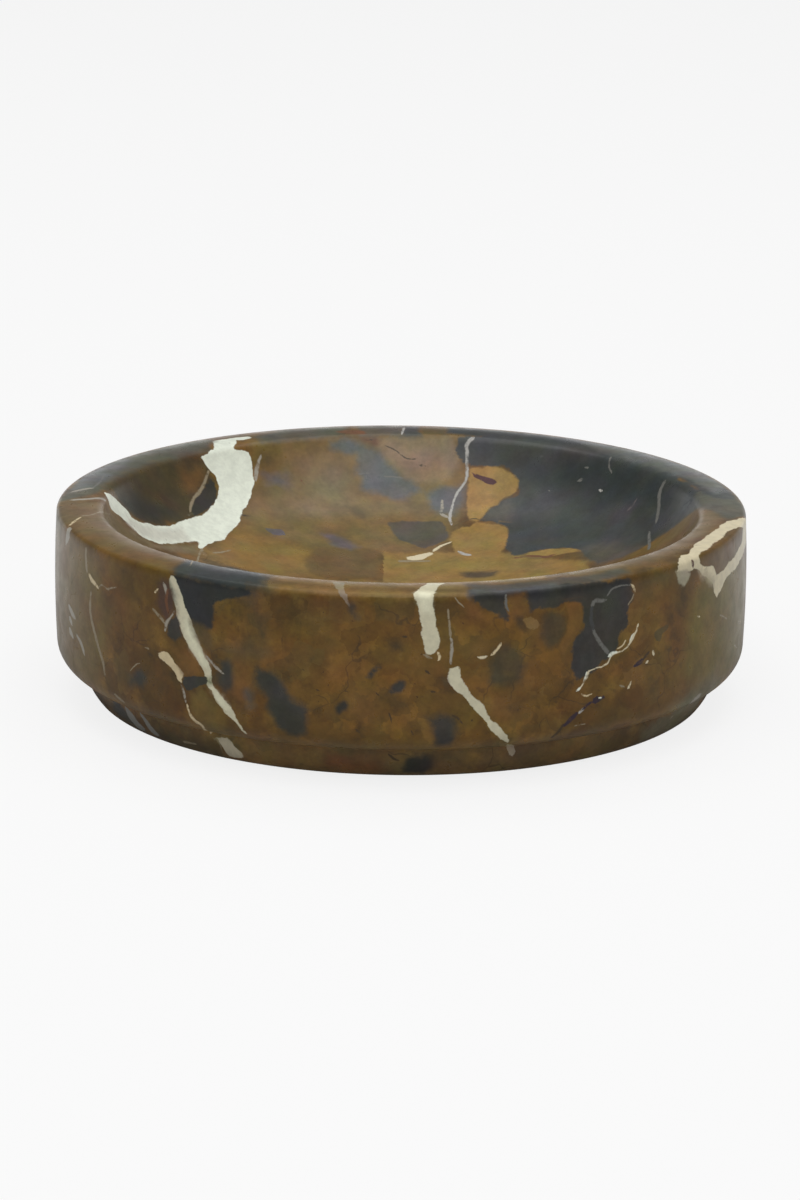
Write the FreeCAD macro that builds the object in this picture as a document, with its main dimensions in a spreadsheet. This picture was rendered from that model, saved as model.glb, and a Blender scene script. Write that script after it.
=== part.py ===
"""Round stone soap dish, turned from one block, on thin non-slip pads.

Frame: millimetres, +Z up. The origin is where the dish's own axis meets the counter, so the pads'
undersides lie on z = 0 and the dish is symmetric about Z.
"""

import FreeCAD, Part
import Sketcher
import math
import os

# Sizes that can be set by themselves, in millimetres unless a comment says otherwise
SIZES = {
    # Stone body
    "dish_diameter": 110.0,  # across the widest part of the wall
    "stone_height": 30.0,  # underside of the foot to the crest of the rim
    "wall_bulge": 0.4,  # how far the wall swells between its two edges
    "step_flat": 0.35,  # flat ring left between the rounded lower edge and the foot
    # Rim
    "rim_width": 7.5,  # widest part of the wall to the mouth of the bowl
    "rim_crown": 0.4,  # how far the rim's top swells between its two edges
    "rim_edge_radius": 0.8,
    "bowl_edge_radius": 2.0,
    # Bowl
    "bowl_depth": 17.0,  # crest of the rim to the lowest point of the bowl
    "bowl_wall_radius": 24.0,
    "bowl_floor_radius": 115.0,
    "cutter_overrun": 2.0,  # how far the bowl's cutting outline stands above the rim
    # Foot
    "foot_height": 4.9,
    "foot_set_in": 4.4,  # widest part of the wall to the top of the foot
    "foot_draw_in": 1.85,  # how far the foot's side curves in on its way down
    "foot_edge_radius": 0.5,
    # Non-slip pads
    "pad_count": 4,  # a plain count
    "pad_first_angle": 45.0,  # degrees about Z
    "pad_diameter": 10.0,
    "pad_thickness": 1.0,
    "pad_edge_radius": 0.3,
    "pad_from_edge": 8.0,  # edge of the foot's underside to the nearest point of a pad
}

# Places worked out from those sizes, as formulas of the sheet
WIDEST_R = "Sizes.dish_diameter / 2"
WALL_EDGE_R = f"({WIDEST_R} - Sizes.wall_bulge)"
BOWL_R = f"({WIDEST_R} - Sizes.rim_width)"
FOOT_TOP_R = f"({WIDEST_R} - Sizes.foot_set_in)"
FOOT_LOW_R = f"({FOOT_TOP_R} - Sizes.foot_draw_in)"
BASE_Z = "Sizes.pad_thickness"
STEP_Z = f"({BASE_Z} + Sizes.foot_height)"
CREST_Z = f"({BASE_Z} + Sizes.stone_height)"
LAND_Z = f"({CREST_Z} - Sizes.rim_crown)"
BOWL_FLOOR_Z = f"({CREST_Z} - Sizes.bowl_depth)"
CUTTER_TOP_Z = f"({CREST_Z} + Sizes.cutter_overrun)"
LOWER_EDGE_RADIUS = f"{WALL_EDGE_R} - {FOOT_TOP_R} - Sizes.step_flat"
PAD_CENTRE_R = f"({FOOT_LOW_R} - Sizes.foot_edge_radius - Sizes.pad_from_edge - Sizes.pad_diameter / 2)"

# A sketch counts an edge's points upwards from 1, and its own origin and upright axis downwards from -1
START, END, CENTRE = range(1, 4)
ORIGIN, UPRIGHT_AXIS = range(-1, -3, -1)
SKETCH_NORMAL = FreeCAD.Vector(0, 0, 1)

# Edges are found by place to within this distance
EDGE_SEARCH = 0.01


def make_sheet(doc):
    """The spreadsheet of driving sizes, one row each: its name and its value."""
    sheet = doc.addObject("Spreadsheet::Sheet", "Sizes")
    for row, (name, value) in enumerate(SIZES.items(), start=1):
        sheet.set(f"A{row}", name)
        sheet.set(f"B{row}", str(value))
        sheet.setAlias(f"B{row}", name)
    doc.recompute()
    return sheet


def make_body(doc, name):
    body = doc.addObject("PartDesign::Body", name)
    body.Label = name
    return body


def make_sketch(body, plane_role, name):
    """A sketch on one of the body's own origin planes."""
    sketch = body.newObject("Sketcher::SketchObject", name)
    plane = next(item for item in body.Origin.OriginFeatures if item.Role == plane_role)
    sketch.AttachmentSupport = [(plane, "")]
    sketch.MapMode = "FlatFace"
    return sketch


def reading(item, formula):
    """What a formula of the sheet comes to now."""
    return float(item.evalExpression(formula))


def bind(sketch, kind, places, formula):
    """Adds a dimension whose value is a formula of the sheet."""
    index = sketch.addConstraint(Sketcher.Constraint(kind, *places, reading(sketch, formula)))
    sketch.setExpression(f"Constraints[{index}]", formula)


def pin_point(sketch, edge, point, across=None, up=None):
    """Places a point of an edge: a formula for each direction, or on the upright axis with none across."""
    if across is None:
        sketch.addConstraint(Sketcher.Constraint("PointOnObject", edge, point, UPRIGHT_AXIS))
    else:
        bind(sketch, "DistanceX", (ORIGIN, START, edge, point), across)
    bind(sketch, "DistanceY", (ORIGIN, START, edge, point), up)


def join_ends(sketch, edges, smooth=()):
    """Joins each edge's end to the next edge's start; the edges in smooth run on tangentially."""
    for edge, following in zip(edges, edges[1:] + edges[:1]):
        kind = "Tangent" if edge in smooth else "Coincident"
        sketch.addConstraint(Sketcher.Constraint(kind, edge, END, following, START))


def chord_radius(span, rise):
    """Radius of an arc, as a formula, from its straight span and its rise above that span."""
    return f"((({span}) / 2) ^ 2 + ({rise}) ^ 2) / (2 * ({rise}))"


def bowed_arc(low, high, rise):
    """An arc from one point to the other that rises to the right of the straight line between them."""
    along = high.sub(low)
    across = FreeCAD.Vector(along.y, -along.x, 0).normalize()
    middle = low.add(along.multiply(0.5)).add(across.multiply(rise))
    return Part.Arc(low, middle, high)


def draw_block_outline(sketch):
    """Half outline of the turned block, anticlockwise from the axis at the foot's underside."""

    def corner(across, up):
        return FreeCAD.Vector(reading(sketch, across) if across else 0, reading(sketch, up), 0)

    axis_low = corner(None, BASE_Z)
    foot_low = corner(FOOT_LOW_R, BASE_Z)
    foot_top = corner(FOOT_TOP_R, STEP_Z)
    wall_low = corner(WALL_EDGE_R, STEP_Z)
    wall_top = corner(WALL_EDGE_R, LAND_Z)
    mouth = corner(BOWL_R, LAND_Z)
    axis_top = corner(None, LAND_Z)

    # The foot's side is an arc that stands upright at its top end
    foot_side_radius = "(Sizes.foot_height ^ 2 + Sizes.foot_draw_in ^ 2) / (2 * Sizes.foot_draw_in)"
    foot_radius = reading(sketch, foot_side_radius)
    foot_centre = foot_top.sub(FreeCAD.Vector(foot_radius, 0, 0))
    foot_circle = Part.Circle(foot_centre, SKETCH_NORMAL, foot_radius)
    low_angle = math.atan2(foot_low.y - foot_centre.y, foot_low.x - foot_centre.x)

    underside = sketch.addGeometry(Part.LineSegment(axis_low, foot_low))
    foot_side = sketch.addGeometry(Part.ArcOfCircle(foot_circle, low_angle, 0))
    step = sketch.addGeometry(Part.LineSegment(foot_top, wall_low))
    wall = sketch.addGeometry(bowed_arc(wall_low, wall_top, reading(sketch, "Sizes.wall_bulge")))
    land = sketch.addGeometry(bowed_arc(wall_top, mouth, reading(sketch, "Sizes.rim_crown")))
    top = sketch.addGeometry(Part.LineSegment(mouth, axis_top))
    axis = sketch.addGeometry(Part.LineSegment(axis_top, axis_low))

    join_ends(sketch, [underside, foot_side, step, wall, land, top, axis])
    pin_point(sketch, underside, START, up=BASE_Z)
    pin_point(sketch, underside, END, FOOT_LOW_R, BASE_Z)
    pin_point(sketch, step, START, FOOT_TOP_R, STEP_Z)
    pin_point(sketch, step, END, WALL_EDGE_R, STEP_Z)
    pin_point(sketch, wall, END, WALL_EDGE_R, LAND_Z)
    pin_point(sketch, top, START, BOWL_R, LAND_Z)
    pin_point(sketch, top, END, up=LAND_Z)
    bind(sketch, "Radius", (foot_side,), foot_side_radius)
    bind(sketch, "Radius", (wall,), chord_radius(f"{LAND_Z} - {STEP_Z}", "Sizes.wall_bulge"))
    bind(sketch, "Radius", (land,), chord_radius(f"{WALL_EDGE_R} - {BOWL_R}", "Sizes.rim_crown"))


def wall_arc_centre(mouth, floor_centre, wall_radius, floor_radius):
    """Centre of the arc through the bowl's mouth that runs on smoothly from the floor's arc."""
    gap = mouth.sub(floor_centre)
    reach = floor_radius - wall_radius
    along = (reach ** 2 - wall_radius ** 2 + gap.Length ** 2) / (2 * gap.Length)
    aside = math.sqrt(reach ** 2 - along ** 2)
    direction = FreeCAD.Vector(gap).normalize()
    inward = FreeCAD.Vector(direction.y, -direction.x, 0)
    return floor_centre.add(direction.multiply(along)).add(inward.multiply(aside))


def draw_bowl_outline(sketch):
    """Half outline of what is hollowed out, anticlockwise from the bowl's lowest point."""
    wall_radius = reading(sketch, "Sizes.bowl_wall_radius")
    floor_radius = reading(sketch, "Sizes.bowl_floor_radius")
    lowest = FreeCAD.Vector(0, reading(sketch, BOWL_FLOOR_Z), 0)
    mouth = FreeCAD.Vector(reading(sketch, BOWL_R), reading(sketch, LAND_Z), 0)
    above_mouth = FreeCAD.Vector(mouth.x, reading(sketch, CUTTER_TOP_Z), 0)
    above_axis = FreeCAD.Vector(0, above_mouth.y, 0)

    floor_centre = FreeCAD.Vector(0, lowest.y + floor_radius, 0)
    wall_centre = wall_arc_centre(mouth, floor_centre, wall_radius, floor_radius)
    meeting = wall_centre.sub(floor_centre)
    meeting_angle = math.atan2(meeting.y, meeting.x)
    rise = mouth.sub(wall_centre)
    floor_circle = Part.Circle(floor_centre, SKETCH_NORMAL, floor_radius)
    wall_circle = Part.Circle(wall_centre, SKETCH_NORMAL, wall_radius)

    floor = sketch.addGeometry(Part.ArcOfCircle(floor_circle, -math.pi / 2, meeting_angle))
    wall = sketch.addGeometry(Part.ArcOfCircle(wall_circle, meeting_angle, math.atan2(rise.y, rise.x)))
    side = sketch.addGeometry(Part.LineSegment(mouth, above_mouth))
    top = sketch.addGeometry(Part.LineSegment(above_mouth, above_axis))
    axis = sketch.addGeometry(Part.LineSegment(above_axis, lowest))

    join_ends(sketch, [floor, wall, side, top, axis], smooth=(floor,))
    pin_point(sketch, floor, START, up=BOWL_FLOOR_Z)
    sketch.addConstraint(Sketcher.Constraint("PointOnObject", floor, CENTRE, UPRIGHT_AXIS))
    pin_point(sketch, side, START, BOWL_R, LAND_Z)
    pin_point(sketch, side, END, BOWL_R, CUTTER_TOP_Z)
    pin_point(sketch, top, END, up=CUTTER_TOP_Z)
    bind(sketch, "Radius", (floor,), "Sizes.bowl_floor_radius")
    bind(sketch, "Radius", (wall,), "Sizes.bowl_wall_radius")


def turn(body, kind, name, sketch):
    """A full turn of the sketch about the dish's upright axis: adds stone, or cuts it for a Groove."""
    feature = body.newObject(f"PartDesign::{kind}", name)
    feature.Profile = sketch
    feature.ReferenceAxis = (sketch, ["V_Axis"])
    feature.Angle = 360
    sketch.Visibility = False
    return feature


def round_edge_at(shape, radius, height):
    """Name of the one round edge of this radius at this height."""
    names = []
    for number, edge in enumerate(shape.Edges, start=1):
        if edge.Degenerated or not isinstance(edge.Curve, Part.Circle):
            continue
        circle = edge.Curve
        if abs(circle.Radius - radius) < EDGE_SEARCH and abs(circle.Center.z - height) < EDGE_SEARCH:
            names.append(f"Edge{number}")
    if len(names) != 1:
        raise RuntimeError(f"{len(names)} round edges of radius {radius} at height {height}")
    return names[0]


def soften(doc, body, name, edge_radius, edge_height, rounding):
    """A rounding along one round edge, each of its sizes a formula of the sheet."""
    base = body.Tip
    fillet = body.newObject("PartDesign::Fillet", name)
    edge = round_edge_at(base.Shape, reading(fillet, edge_radius), reading(fillet, edge_height))
    fillet.Base = (base, [edge])
    fillet.Radius = reading(fillet, rounding)
    fillet.setExpression("Radius", rounding)
    doc.recompute()


def make_stone_dish(doc):
    """The dish: one block turned to shape, hollowed, and its edges rounded."""
    body = make_body(doc, "stone_dish")

    block_sketch = make_sketch(body, "XZ_Plane", "block_outline")
    draw_block_outline(block_sketch)
    turn(body, "Revolution", "turned_block", block_sketch)
    doc.recompute()
    block_volume = body.Shape.Volume

    bowl_sketch = make_sketch(body, "XZ_Plane", "bowl_outline")
    draw_bowl_outline(bowl_sketch)
    turn(body, "Groove", "bowl", bowl_sketch)
    doc.recompute()
    if body.Shape.Volume >= block_volume:
        raise RuntimeError("the bowl took no stone away")

    soften(doc, body, "rim_edge_rounding", WALL_EDGE_R, LAND_Z, "Sizes.rim_edge_radius")
    soften(doc, body, "bowl_edge_rounding", BOWL_R, LAND_Z, "Sizes.bowl_edge_radius")
    soften(doc, body, "lower_edge_rounding", WALL_EDGE_R, STEP_Z, LOWER_EDGE_RADIUS)
    soften(doc, body, "foot_edge_rounding", FOOT_LOW_R, BASE_Z, "Sizes.foot_edge_radius")
    return body


def make_pad(doc, number):
    """One round pad, its top against the foot's underside and its lower edge rounded."""
    body = make_body(doc, f"non_slip_pad_{number}")

    sketch = make_sketch(body, "XY_Plane", f"pad_{number}_outline")
    radius = reading(sketch, "Sizes.pad_diameter / 2")
    disc = sketch.addGeometry(Part.Circle(FreeCAD.Vector(), SKETCH_NORMAL, radius))
    sketch.addConstraint(Sketcher.Constraint("Coincident", disc, CENTRE, ORIGIN, START))
    bind(sketch, "Radius", (disc,), "Sizes.pad_diameter / 2")

    pad = body.newObject("PartDesign::Pad", f"pad_{number}_disc")
    pad.Profile = sketch
    pad.setExpression("Length", "Sizes.pad_thickness")
    sketch.Visibility = False
    doc.recompute()
    soften(doc, body, f"pad_{number}_rounding", "Sizes.pad_diameter / 2", "0", "Sizes.pad_edge_radius")

    # The pads stand evenly round the axis
    turned = f"(Sizes.pad_first_angle + 360 * {number - 1} / Sizes.pad_count) * 1 deg"
    body.setExpression("Placement.Base.x", f"{PAD_CENTRE_R} * cos({turned})")
    body.setExpression("Placement.Base.y", f"{PAD_CENTRE_R} * sin({turned})")
    return body


def check(doc, bodies):
    """Stops if any feature failed or any piece isn't one sound solid."""
    for item in doc.Objects:
        if "Invalid" in item.State or "Error" in item.State:
            raise RuntimeError(f"{item.Name} failed: {item.State}")
    for body in bodies:
        shape = body.Shape
        if shape.isNull() or not shape.isValid() or len(shape.Solids) != 1:
            raise RuntimeError(f"{body.Label} isn't one sound solid")


def main():
    doc = FreeCAD.newDocument("soap_dish")
    make_sheet(doc)
    bodies = [make_stone_dish(doc)]
    bodies += [make_pad(doc, number) for number in range(1, SIZES["pad_count"] + 1)]
    doc.recompute()
    check(doc, bodies)

    os.makedirs("parts", exist_ok=True)
    for body in bodies:
        body.Shape.exportStep(f"parts/{body.Label}.step")
        box = body.Shape.optimalBoundingBox(False)
        print(body.Label, f"{body.Shape.Volume:.1f} mm3,", f"z {box.ZMin:.3f} to {box.ZMax:.3f}")


main()
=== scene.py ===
import math

import bpy
import numpy as np
from mathutils import Matrix, Vector
from mathutils.bvhtree import BVHTree


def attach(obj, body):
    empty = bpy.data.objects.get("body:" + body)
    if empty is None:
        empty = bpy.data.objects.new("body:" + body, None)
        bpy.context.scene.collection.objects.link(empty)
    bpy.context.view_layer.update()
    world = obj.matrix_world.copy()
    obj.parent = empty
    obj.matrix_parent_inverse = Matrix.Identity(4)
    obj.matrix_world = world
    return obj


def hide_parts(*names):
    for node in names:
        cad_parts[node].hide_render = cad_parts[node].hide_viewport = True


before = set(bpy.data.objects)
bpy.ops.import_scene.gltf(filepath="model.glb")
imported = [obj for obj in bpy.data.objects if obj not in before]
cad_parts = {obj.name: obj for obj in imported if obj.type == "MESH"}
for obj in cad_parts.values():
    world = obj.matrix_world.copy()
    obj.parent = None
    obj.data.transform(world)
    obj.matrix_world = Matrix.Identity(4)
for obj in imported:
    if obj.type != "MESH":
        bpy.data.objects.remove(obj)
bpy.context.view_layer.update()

# Sizes of the dish, in metres: the same driving sizes that the solids follow
DISH_DIAMETER = 0.110
STONE_HEIGHT = 0.030
WALL_BULGE = 0.0004
RIM_WIDTH = 0.0075
RIM_CROWN = 0.0004
RIM_EDGE_RADIUS = 0.0008
BOWL_EDGE_RADIUS = 0.002
BOWL_DEPTH = 0.017
BOWL_WALL_RADIUS = 0.024
BOWL_FLOOR_RADIUS = 0.115
FOOT_HEIGHT = 0.0049
FOOT_SET_IN = 0.0044
FOOT_DRAW_IN = 0.00185
FOOT_EDGE_RADIUS = 0.0005
STEP_FLAT = 0.00035
PAD_THICKNESS = 0.001

# How far the visible surface lies inside the true one
HAIR = 0.00002

WIDEST_R = DISH_DIAMETER / 2
WALL_EDGE_R = WIDEST_R - WALL_BULGE
BOWL_R = WIDEST_R - RIM_WIDTH
FOOT_TOP_R = WIDEST_R - FOOT_SET_IN
BASE_Z = PAD_THICKNESS
STEP_Z = BASE_Z + FOOT_HEIGHT
CREST_Z = BASE_Z + STONE_HEIGHT
LAND_Z = CREST_Z - RIM_CROWN
BOWL_FLOOR_Z = CREST_Z - BOWL_DEPTH
LOWER_EDGE_RADIUS = WALL_EDGE_R - FOOT_TOP_R - STEP_FLAT

# Profile
# How far apart the outline's points lie on each of its runs, from the bowl's floor to the underside
SPACINGS = [0.00082, 0.00072, 0.00032, 0.00055, 0.00018, 0.00055, 0.0005, 0.0004, 0.00065, 0.0003, 0.007]


def chord_radius(span, rise):
    """Radius of the arc that rises so far over a chord."""
    return ((span / 2) ** 2 + rise ** 2) / (2 * rise)


def circles_meet(one, one_radius, two, two_radius, near):
    """The crossing point of two circles that lies nearer to a given point."""
    gap = two - one
    length = np.hypot(*gap)
    along = (one_radius ** 2 - two_radius ** 2 + length ** 2) / (2 * length)
    aside = math.sqrt(one_radius ** 2 - along ** 2)
    unit = gap / length
    foot = one + unit * along
    options = [foot + side * aside * np.array([-unit[1], unit[0]]) for side in (1, -1)]
    return min(options, key=lambda option: np.hypot(*(option - near)))


def touch(circle, radius, ball):
    """Where a ball's arc touches a circle that it rolls on."""
    away = ball - circle
    return circle + away / np.hypot(*away) * radius


def arc(centre, start, end, spacing):
    """Points along the shorter arc from start to end."""
    first = math.atan2(*(start - centre)[::-1])
    turn = math.atan2(*(end - centre)[::-1]) - first
    turn = (turn + math.pi) % (2 * math.pi) - math.pi
    radius = np.hypot(*(start - centre))
    steps = max(2, math.ceil(abs(turn) * radius / spacing))
    angles = first + turn * np.arange(steps + 1) / steps
    return centre + radius * np.column_stack([np.cos(angles), np.sin(angles)])


def line(start, end, spacing):
    """Points along the straight run from start to end."""
    steps = max(1, math.ceil(np.hypot(*(end - start)) / spacing))
    return start + (end - start) * (np.arange(steps + 1) / steps)[:, None]


def dish_profile():
    """Half outline of the stone from the middle of the bowl over the rim to the middle of its underside."""
    floor_centre = np.array([0, BOWL_FLOOR_Z + BOWL_FLOOR_RADIUS])
    mouth = np.array([BOWL_R, LAND_Z])
    reach = BOWL_FLOOR_RADIUS - BOWL_WALL_RADIUS
    bowl_wall = circles_meet(floor_centre, reach, mouth, BOWL_WALL_RADIUS, np.array([0, LAND_Z]))
    meeting = touch(floor_centre, BOWL_FLOOR_RADIUS, bowl_wall)

    land_radius = chord_radius(WALL_EDGE_R - BOWL_R, RIM_CROWN)
    land = np.array([(WALL_EDGE_R + BOWL_R) / 2, CREST_Z - land_radius])
    wall_radius = chord_radius(LAND_Z - STEP_Z, WALL_BULGE)
    wall = np.array([WIDEST_R - wall_radius, (STEP_Z + LAND_Z) / 2])
    foot_radius = (FOOT_HEIGHT ** 2 + FOOT_DRAW_IN ** 2) / (2 * FOOT_DRAW_IN)
    foot = np.array([FOOT_TOP_R - foot_radius, STEP_Z])

    bowl_ball = circles_meet(land, land_radius - BOWL_EDGE_RADIUS,
                             bowl_wall, BOWL_WALL_RADIUS + BOWL_EDGE_RADIUS, mouth)
    rim_ball = circles_meet(land, land_radius - RIM_EDGE_RADIUS,
                            wall, wall_radius - RIM_EDGE_RADIUS, np.array([WALL_EDGE_R, LAND_Z]))
    lower_rise = STEP_Z + LOWER_EDGE_RADIUS
    lower_ball = np.array([wall[0] + math.sqrt((wall_radius - LOWER_EDGE_RADIUS) ** 2
                                               - (lower_rise - wall[1]) ** 2), lower_rise])
    foot_rise = BASE_Z + FOOT_EDGE_RADIUS
    foot_ball = np.array([foot[0] + math.sqrt((foot_radius - FOOT_EDGE_RADIUS) ** 2
                                              - (foot_rise - foot[1]) ** 2), foot_rise])
    up = np.array([0, 1])
    corners = [np.array([0, BOWL_FLOOR_Z]), meeting,
               touch(bowl_wall, BOWL_WALL_RADIUS, bowl_ball), touch(land, land_radius, bowl_ball),
               touch(land, land_radius, rim_ball), touch(wall, wall_radius, rim_ball),
               touch(wall, wall_radius, lower_ball), lower_ball - up * LOWER_EDGE_RADIUS,
               np.array([FOOT_TOP_R, STEP_Z]), touch(foot, foot_radius, foot_ball),
               foot_ball - up * FOOT_EDGE_RADIUS, np.array([0, BASE_Z])]
    centres = [floor_centre, bowl_wall, bowl_ball, land, rim_ball, wall, lower_ball, None, foot, foot_ball,
               None]
    outline = [corners[:1]]
    for start, end, centre, spacing in zip(corners, corners[1:], centres, SPACINGS):
        run = line(start, end, spacing) if centre is None else arc(centre, start, end, spacing)
        outline.append(run[1:])
    return np.vstack(outline)


def draw_in(profile):
    """The outline moved in by a hair, so that it stays inside the faceted solid's box."""
    radius, height = profile.T
    lowered = BASE_Z + (height - BASE_Z) * (1 - HAIR / STONE_HEIGHT)
    return np.column_stack([radius * (1 - HAIR / WIDEST_R), lowered])


PROFILE = draw_in(dish_profile())
ALONG = np.concatenate([[0], np.cumsum(np.hypot(*np.diff(PROFILE, axis=0).T))])

# Stone mesh
STEPS_ROUND = 625
# How much closer the steps lie at the front, and how finely their spacing is worked out
FRONT_SHARE = 0.3
FINE_STEPS = 7201
SHARP_ANGLE = math.radians(40)


def ring_angles():
    """Angles round the axis, closer together towards -Y, where the wall is seen from near."""
    fine = np.linspace(0, 2 * math.pi, FINE_STEPS)
    density = 1 + FRONT_SHARE * np.cos(fine + math.pi / 2)
    count = np.concatenate([[0], np.cumsum((density[1:] + density[:-1]) / 2)])
    return np.interp(np.arange(STEPS_ROUND) / STEPS_ROUND * count[-1], count, fine)


def make_mesh(name, points, faces):
    mesh = bpy.data.meshes.new(name)
    mesh.from_pydata([tuple(point) for point in points], [], faces)
    mesh.validate()
    made = bpy.data.objects.new(name, mesh)
    bpy.context.scene.collection.objects.link(made)
    return made


def make_stone():
    """The outline turned about the axis: rings of points, closed in the middle at both ends."""
    angles = ring_angles()
    rings = PROFILE[1:-1]
    points = np.empty((len(rings), STEPS_ROUND, 3))
    points[:, :, 0] = rings[:, :1] * np.cos(angles)
    points[:, :, 1] = rings[:, :1] * np.sin(angles)
    points[:, :, 2] = rings[:, 1:]
    points = np.vstack([points.reshape(-1, 3), [0, 0, PROFILE[0, 1]], [0, 0, PROFILE[-1, 1]]])
    bowl_middle, base_middle = len(points) - 2, len(points) - 1
    faces = []
    for ring in range(len(rings) - 1):
        low, high = ring * STEPS_ROUND, (ring + 1) * STEPS_ROUND
        for step in range(STEPS_ROUND):
            after = (step + 1) % STEPS_ROUND
            faces.append((low + step, high + step, high + after, low + after))
    last = (len(rings) - 1) * STEPS_ROUND
    for step in range(STEPS_ROUND):
        after = (step + 1) % STEPS_ROUND
        faces.append((bowl_middle, step, after))
        faces.append((base_middle, last + after, last + step))
    stone = make_mesh("stone_body", points, faces)
    stone.data.shade_smooth()
    stone.data.set_sharp_from_angle(angle=SHARP_ANGLE)
    return stone, points


stone, stone_points = make_stone()

# Camera
# The photograph's own camera, found from the dish's outline and rim lines; pixels are those of its frame
FRAME_WIDE, FRAME_HIGH = 800, 1200
FOCAL_PIXELS = 4133.1
AXIS_PIXEL = (400.46, 592.86)
AIM_Z = PAD_THICKNESS + 0.27 * WIDEST_R
DISTANCE = 12.012 * WIDEST_R
ELEVATION = 0.2699
ROLL = 0.0098
SENSOR = 36
NEAREST_SEEN = 0.01


def camera_axes():
    """The camera's directions to the right, up and forwards."""
    forward = Vector((0, math.cos(ELEVATION), -math.sin(ELEVATION)))
    right = Vector((1, 0, 0))
    up = right.cross(forward)
    rolled_right = math.cos(ROLL) * right + math.sin(ROLL) * up
    rolled_up = math.cos(ROLL) * up - math.sin(ROLL) * right
    return rolled_right, rolled_up, forward


RIGHT, UP, FORWARD = camera_axes()
EYE = Vector((0, 0, AIM_Z)) - FORWARD * DISTANCE


def make_camera():
    data = bpy.data.cameras.new("camera")
    data.sensor_width = SENSOR
    data.lens = FOCAL_PIXELS / FRAME_HIGH * SENSOR
    data.shift_x = (FRAME_WIDE / 2 - AXIS_PIXEL[0]) / FRAME_HIGH
    data.shift_y = (AXIS_PIXEL[1] - FRAME_HIGH / 2) / FRAME_HIGH
    data.clip_start = NEAREST_SEEN
    camera = bpy.data.objects.new("camera", data)
    bpy.context.scene.collection.objects.link(camera)
    axes = Matrix((RIGHT, UP, -FORWARD)).transposed()
    camera.matrix_world = Matrix.Translation(EYE) @ axes.to_4x4()
    bpy.context.scene.camera = camera


make_camera()


# Nodes
def add_node(tree, kind, inputs, **settings):
    """A new node, whose inputs are given as values or as other nodes' outputs."""
    made = tree.nodes.new("ShaderNode" + kind)
    for name, value in settings.items():
        setattr(made, name, value)
    for key, value in inputs.items():
        if isinstance(value, bpy.types.NodeSocket):
            tree.links.new(value, made.inputs[key])
        else:
            made.inputs[key].default_value = value
    return made


def maths(tree, operation, one, two=0):
    return add_node(tree, "Math", {0: one, 1: two}, operation=operation).outputs[0]


def vector_maths(tree, operation, one, two):
    return add_node(tree, "VectorMath", {0: one, 1: two}, operation=operation).outputs[0]


def scale(tree, vector, factor):
    return add_node(tree, "VectorMath", {0: vector, "Scale": factor}, operation="SCALE").outputs[0]


def parts(tree, vector):
    return add_node(tree, "SeparateXYZ", {0: vector}).outputs


def ramp(tree, value, low, high, to_low=0, to_high=1, shape="SMOOTHSTEP"):
    """Turns the way from low to high into the way between two other values, eased at both ends."""
    made = add_node(tree, "MapRange", {"Value": value, "From Min": low, "From Max": high, "To Min": to_low,
                                       "To Max": to_high}, interpolation_type=shape)
    return made.outputs[0]


def slope(tree, value, limits, to_low=0, to_high=1):
    """Turns the way between two limits into the way between two other values, in a straight line."""
    return ramp(tree, value, *limits, to_low, to_high, shape="LINEAR")


def as_colour(value):
    return value if isinstance(value, bpy.types.NodeSocket) else (*value, 1)


def blend(tree, share, under, over):
    made = add_node(tree, "Mix", {0: share, 6: as_colour(under), 7: as_colour(over)}, data_type="RGBA")
    return made.outputs[2]


def blend_value(tree, share, under, over):
    return add_node(tree, "Mix", {0: share, 2: under, 3: over}, data_type="FLOAT").outputs[0]


def for_camera(tree, lit, seen):
    """One shader that lights the scene and another that the camera sees."""
    camera_ray = add_node(tree, "LightPath", {}).outputs["Is Camera Ray"]
    return add_node(tree, "MixShader", {0: camera_ray, 1: lit, 2: seen}).outputs[0]


# Light and floor
ORIGIN = Vector((0, 0, 0))
PURE_WHITE = (1, 1, 1)
# Strength of the tent of light all round, behind the dish and in a strip at the horizon there
TENT_LEVEL = 0.38
TENT_BACK_LEVEL = 0.13
HORIZON_LEVEL = 1.9
STRIP_LEFT, STRIP_RIGHT = 0.92, 1.0
# The same tent as the camera sees it
BACKDROP_LEVEL = 0.985
# Between which values of a direction's Y and Z the tent falls to its level behind the dish
TENT_Y, TENT_Z = (0.1, 0.7), (0.6, 0.3)
# Between which values of a direction's X, Y and Z the strip goes from left to right and grows bright
STRIP_X, STRIP_Y, STRIP_Z = (-0.7, 0.7), (0.28, 0.85), (0.26, 0)
# Half the floor's side, its shades before and behind the dish, and at which Y one turns into the other
FLOOR_REACH = 3
FLOOR_FRONT = (0.50, 0.50, 0.50)
FLOOR_BACK = (0.92, 0.92, 0.92)
FLOOR_Y = (0.005, 0.07)
# The floor as the camera sees it: its own glow, and the shade that takes the dish's shadow
FLOOR_GLOW = 0.835
FLOOR_SEEN = (0.12, 0.12, 0.12)


def area_light(name, place, size, power):
    data = bpy.data.lights.new(name, "AREA")
    data.shape = "SQUARE"
    data.size = size
    data.energy = power
    light = bpy.data.objects.new(name, data)
    bpy.context.scene.collection.objects.link(light)
    light.location = place
    light.rotation_euler = (ORIGIN - Vector(place)).to_track_quat("-Z", "Y").to_euler()


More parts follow.
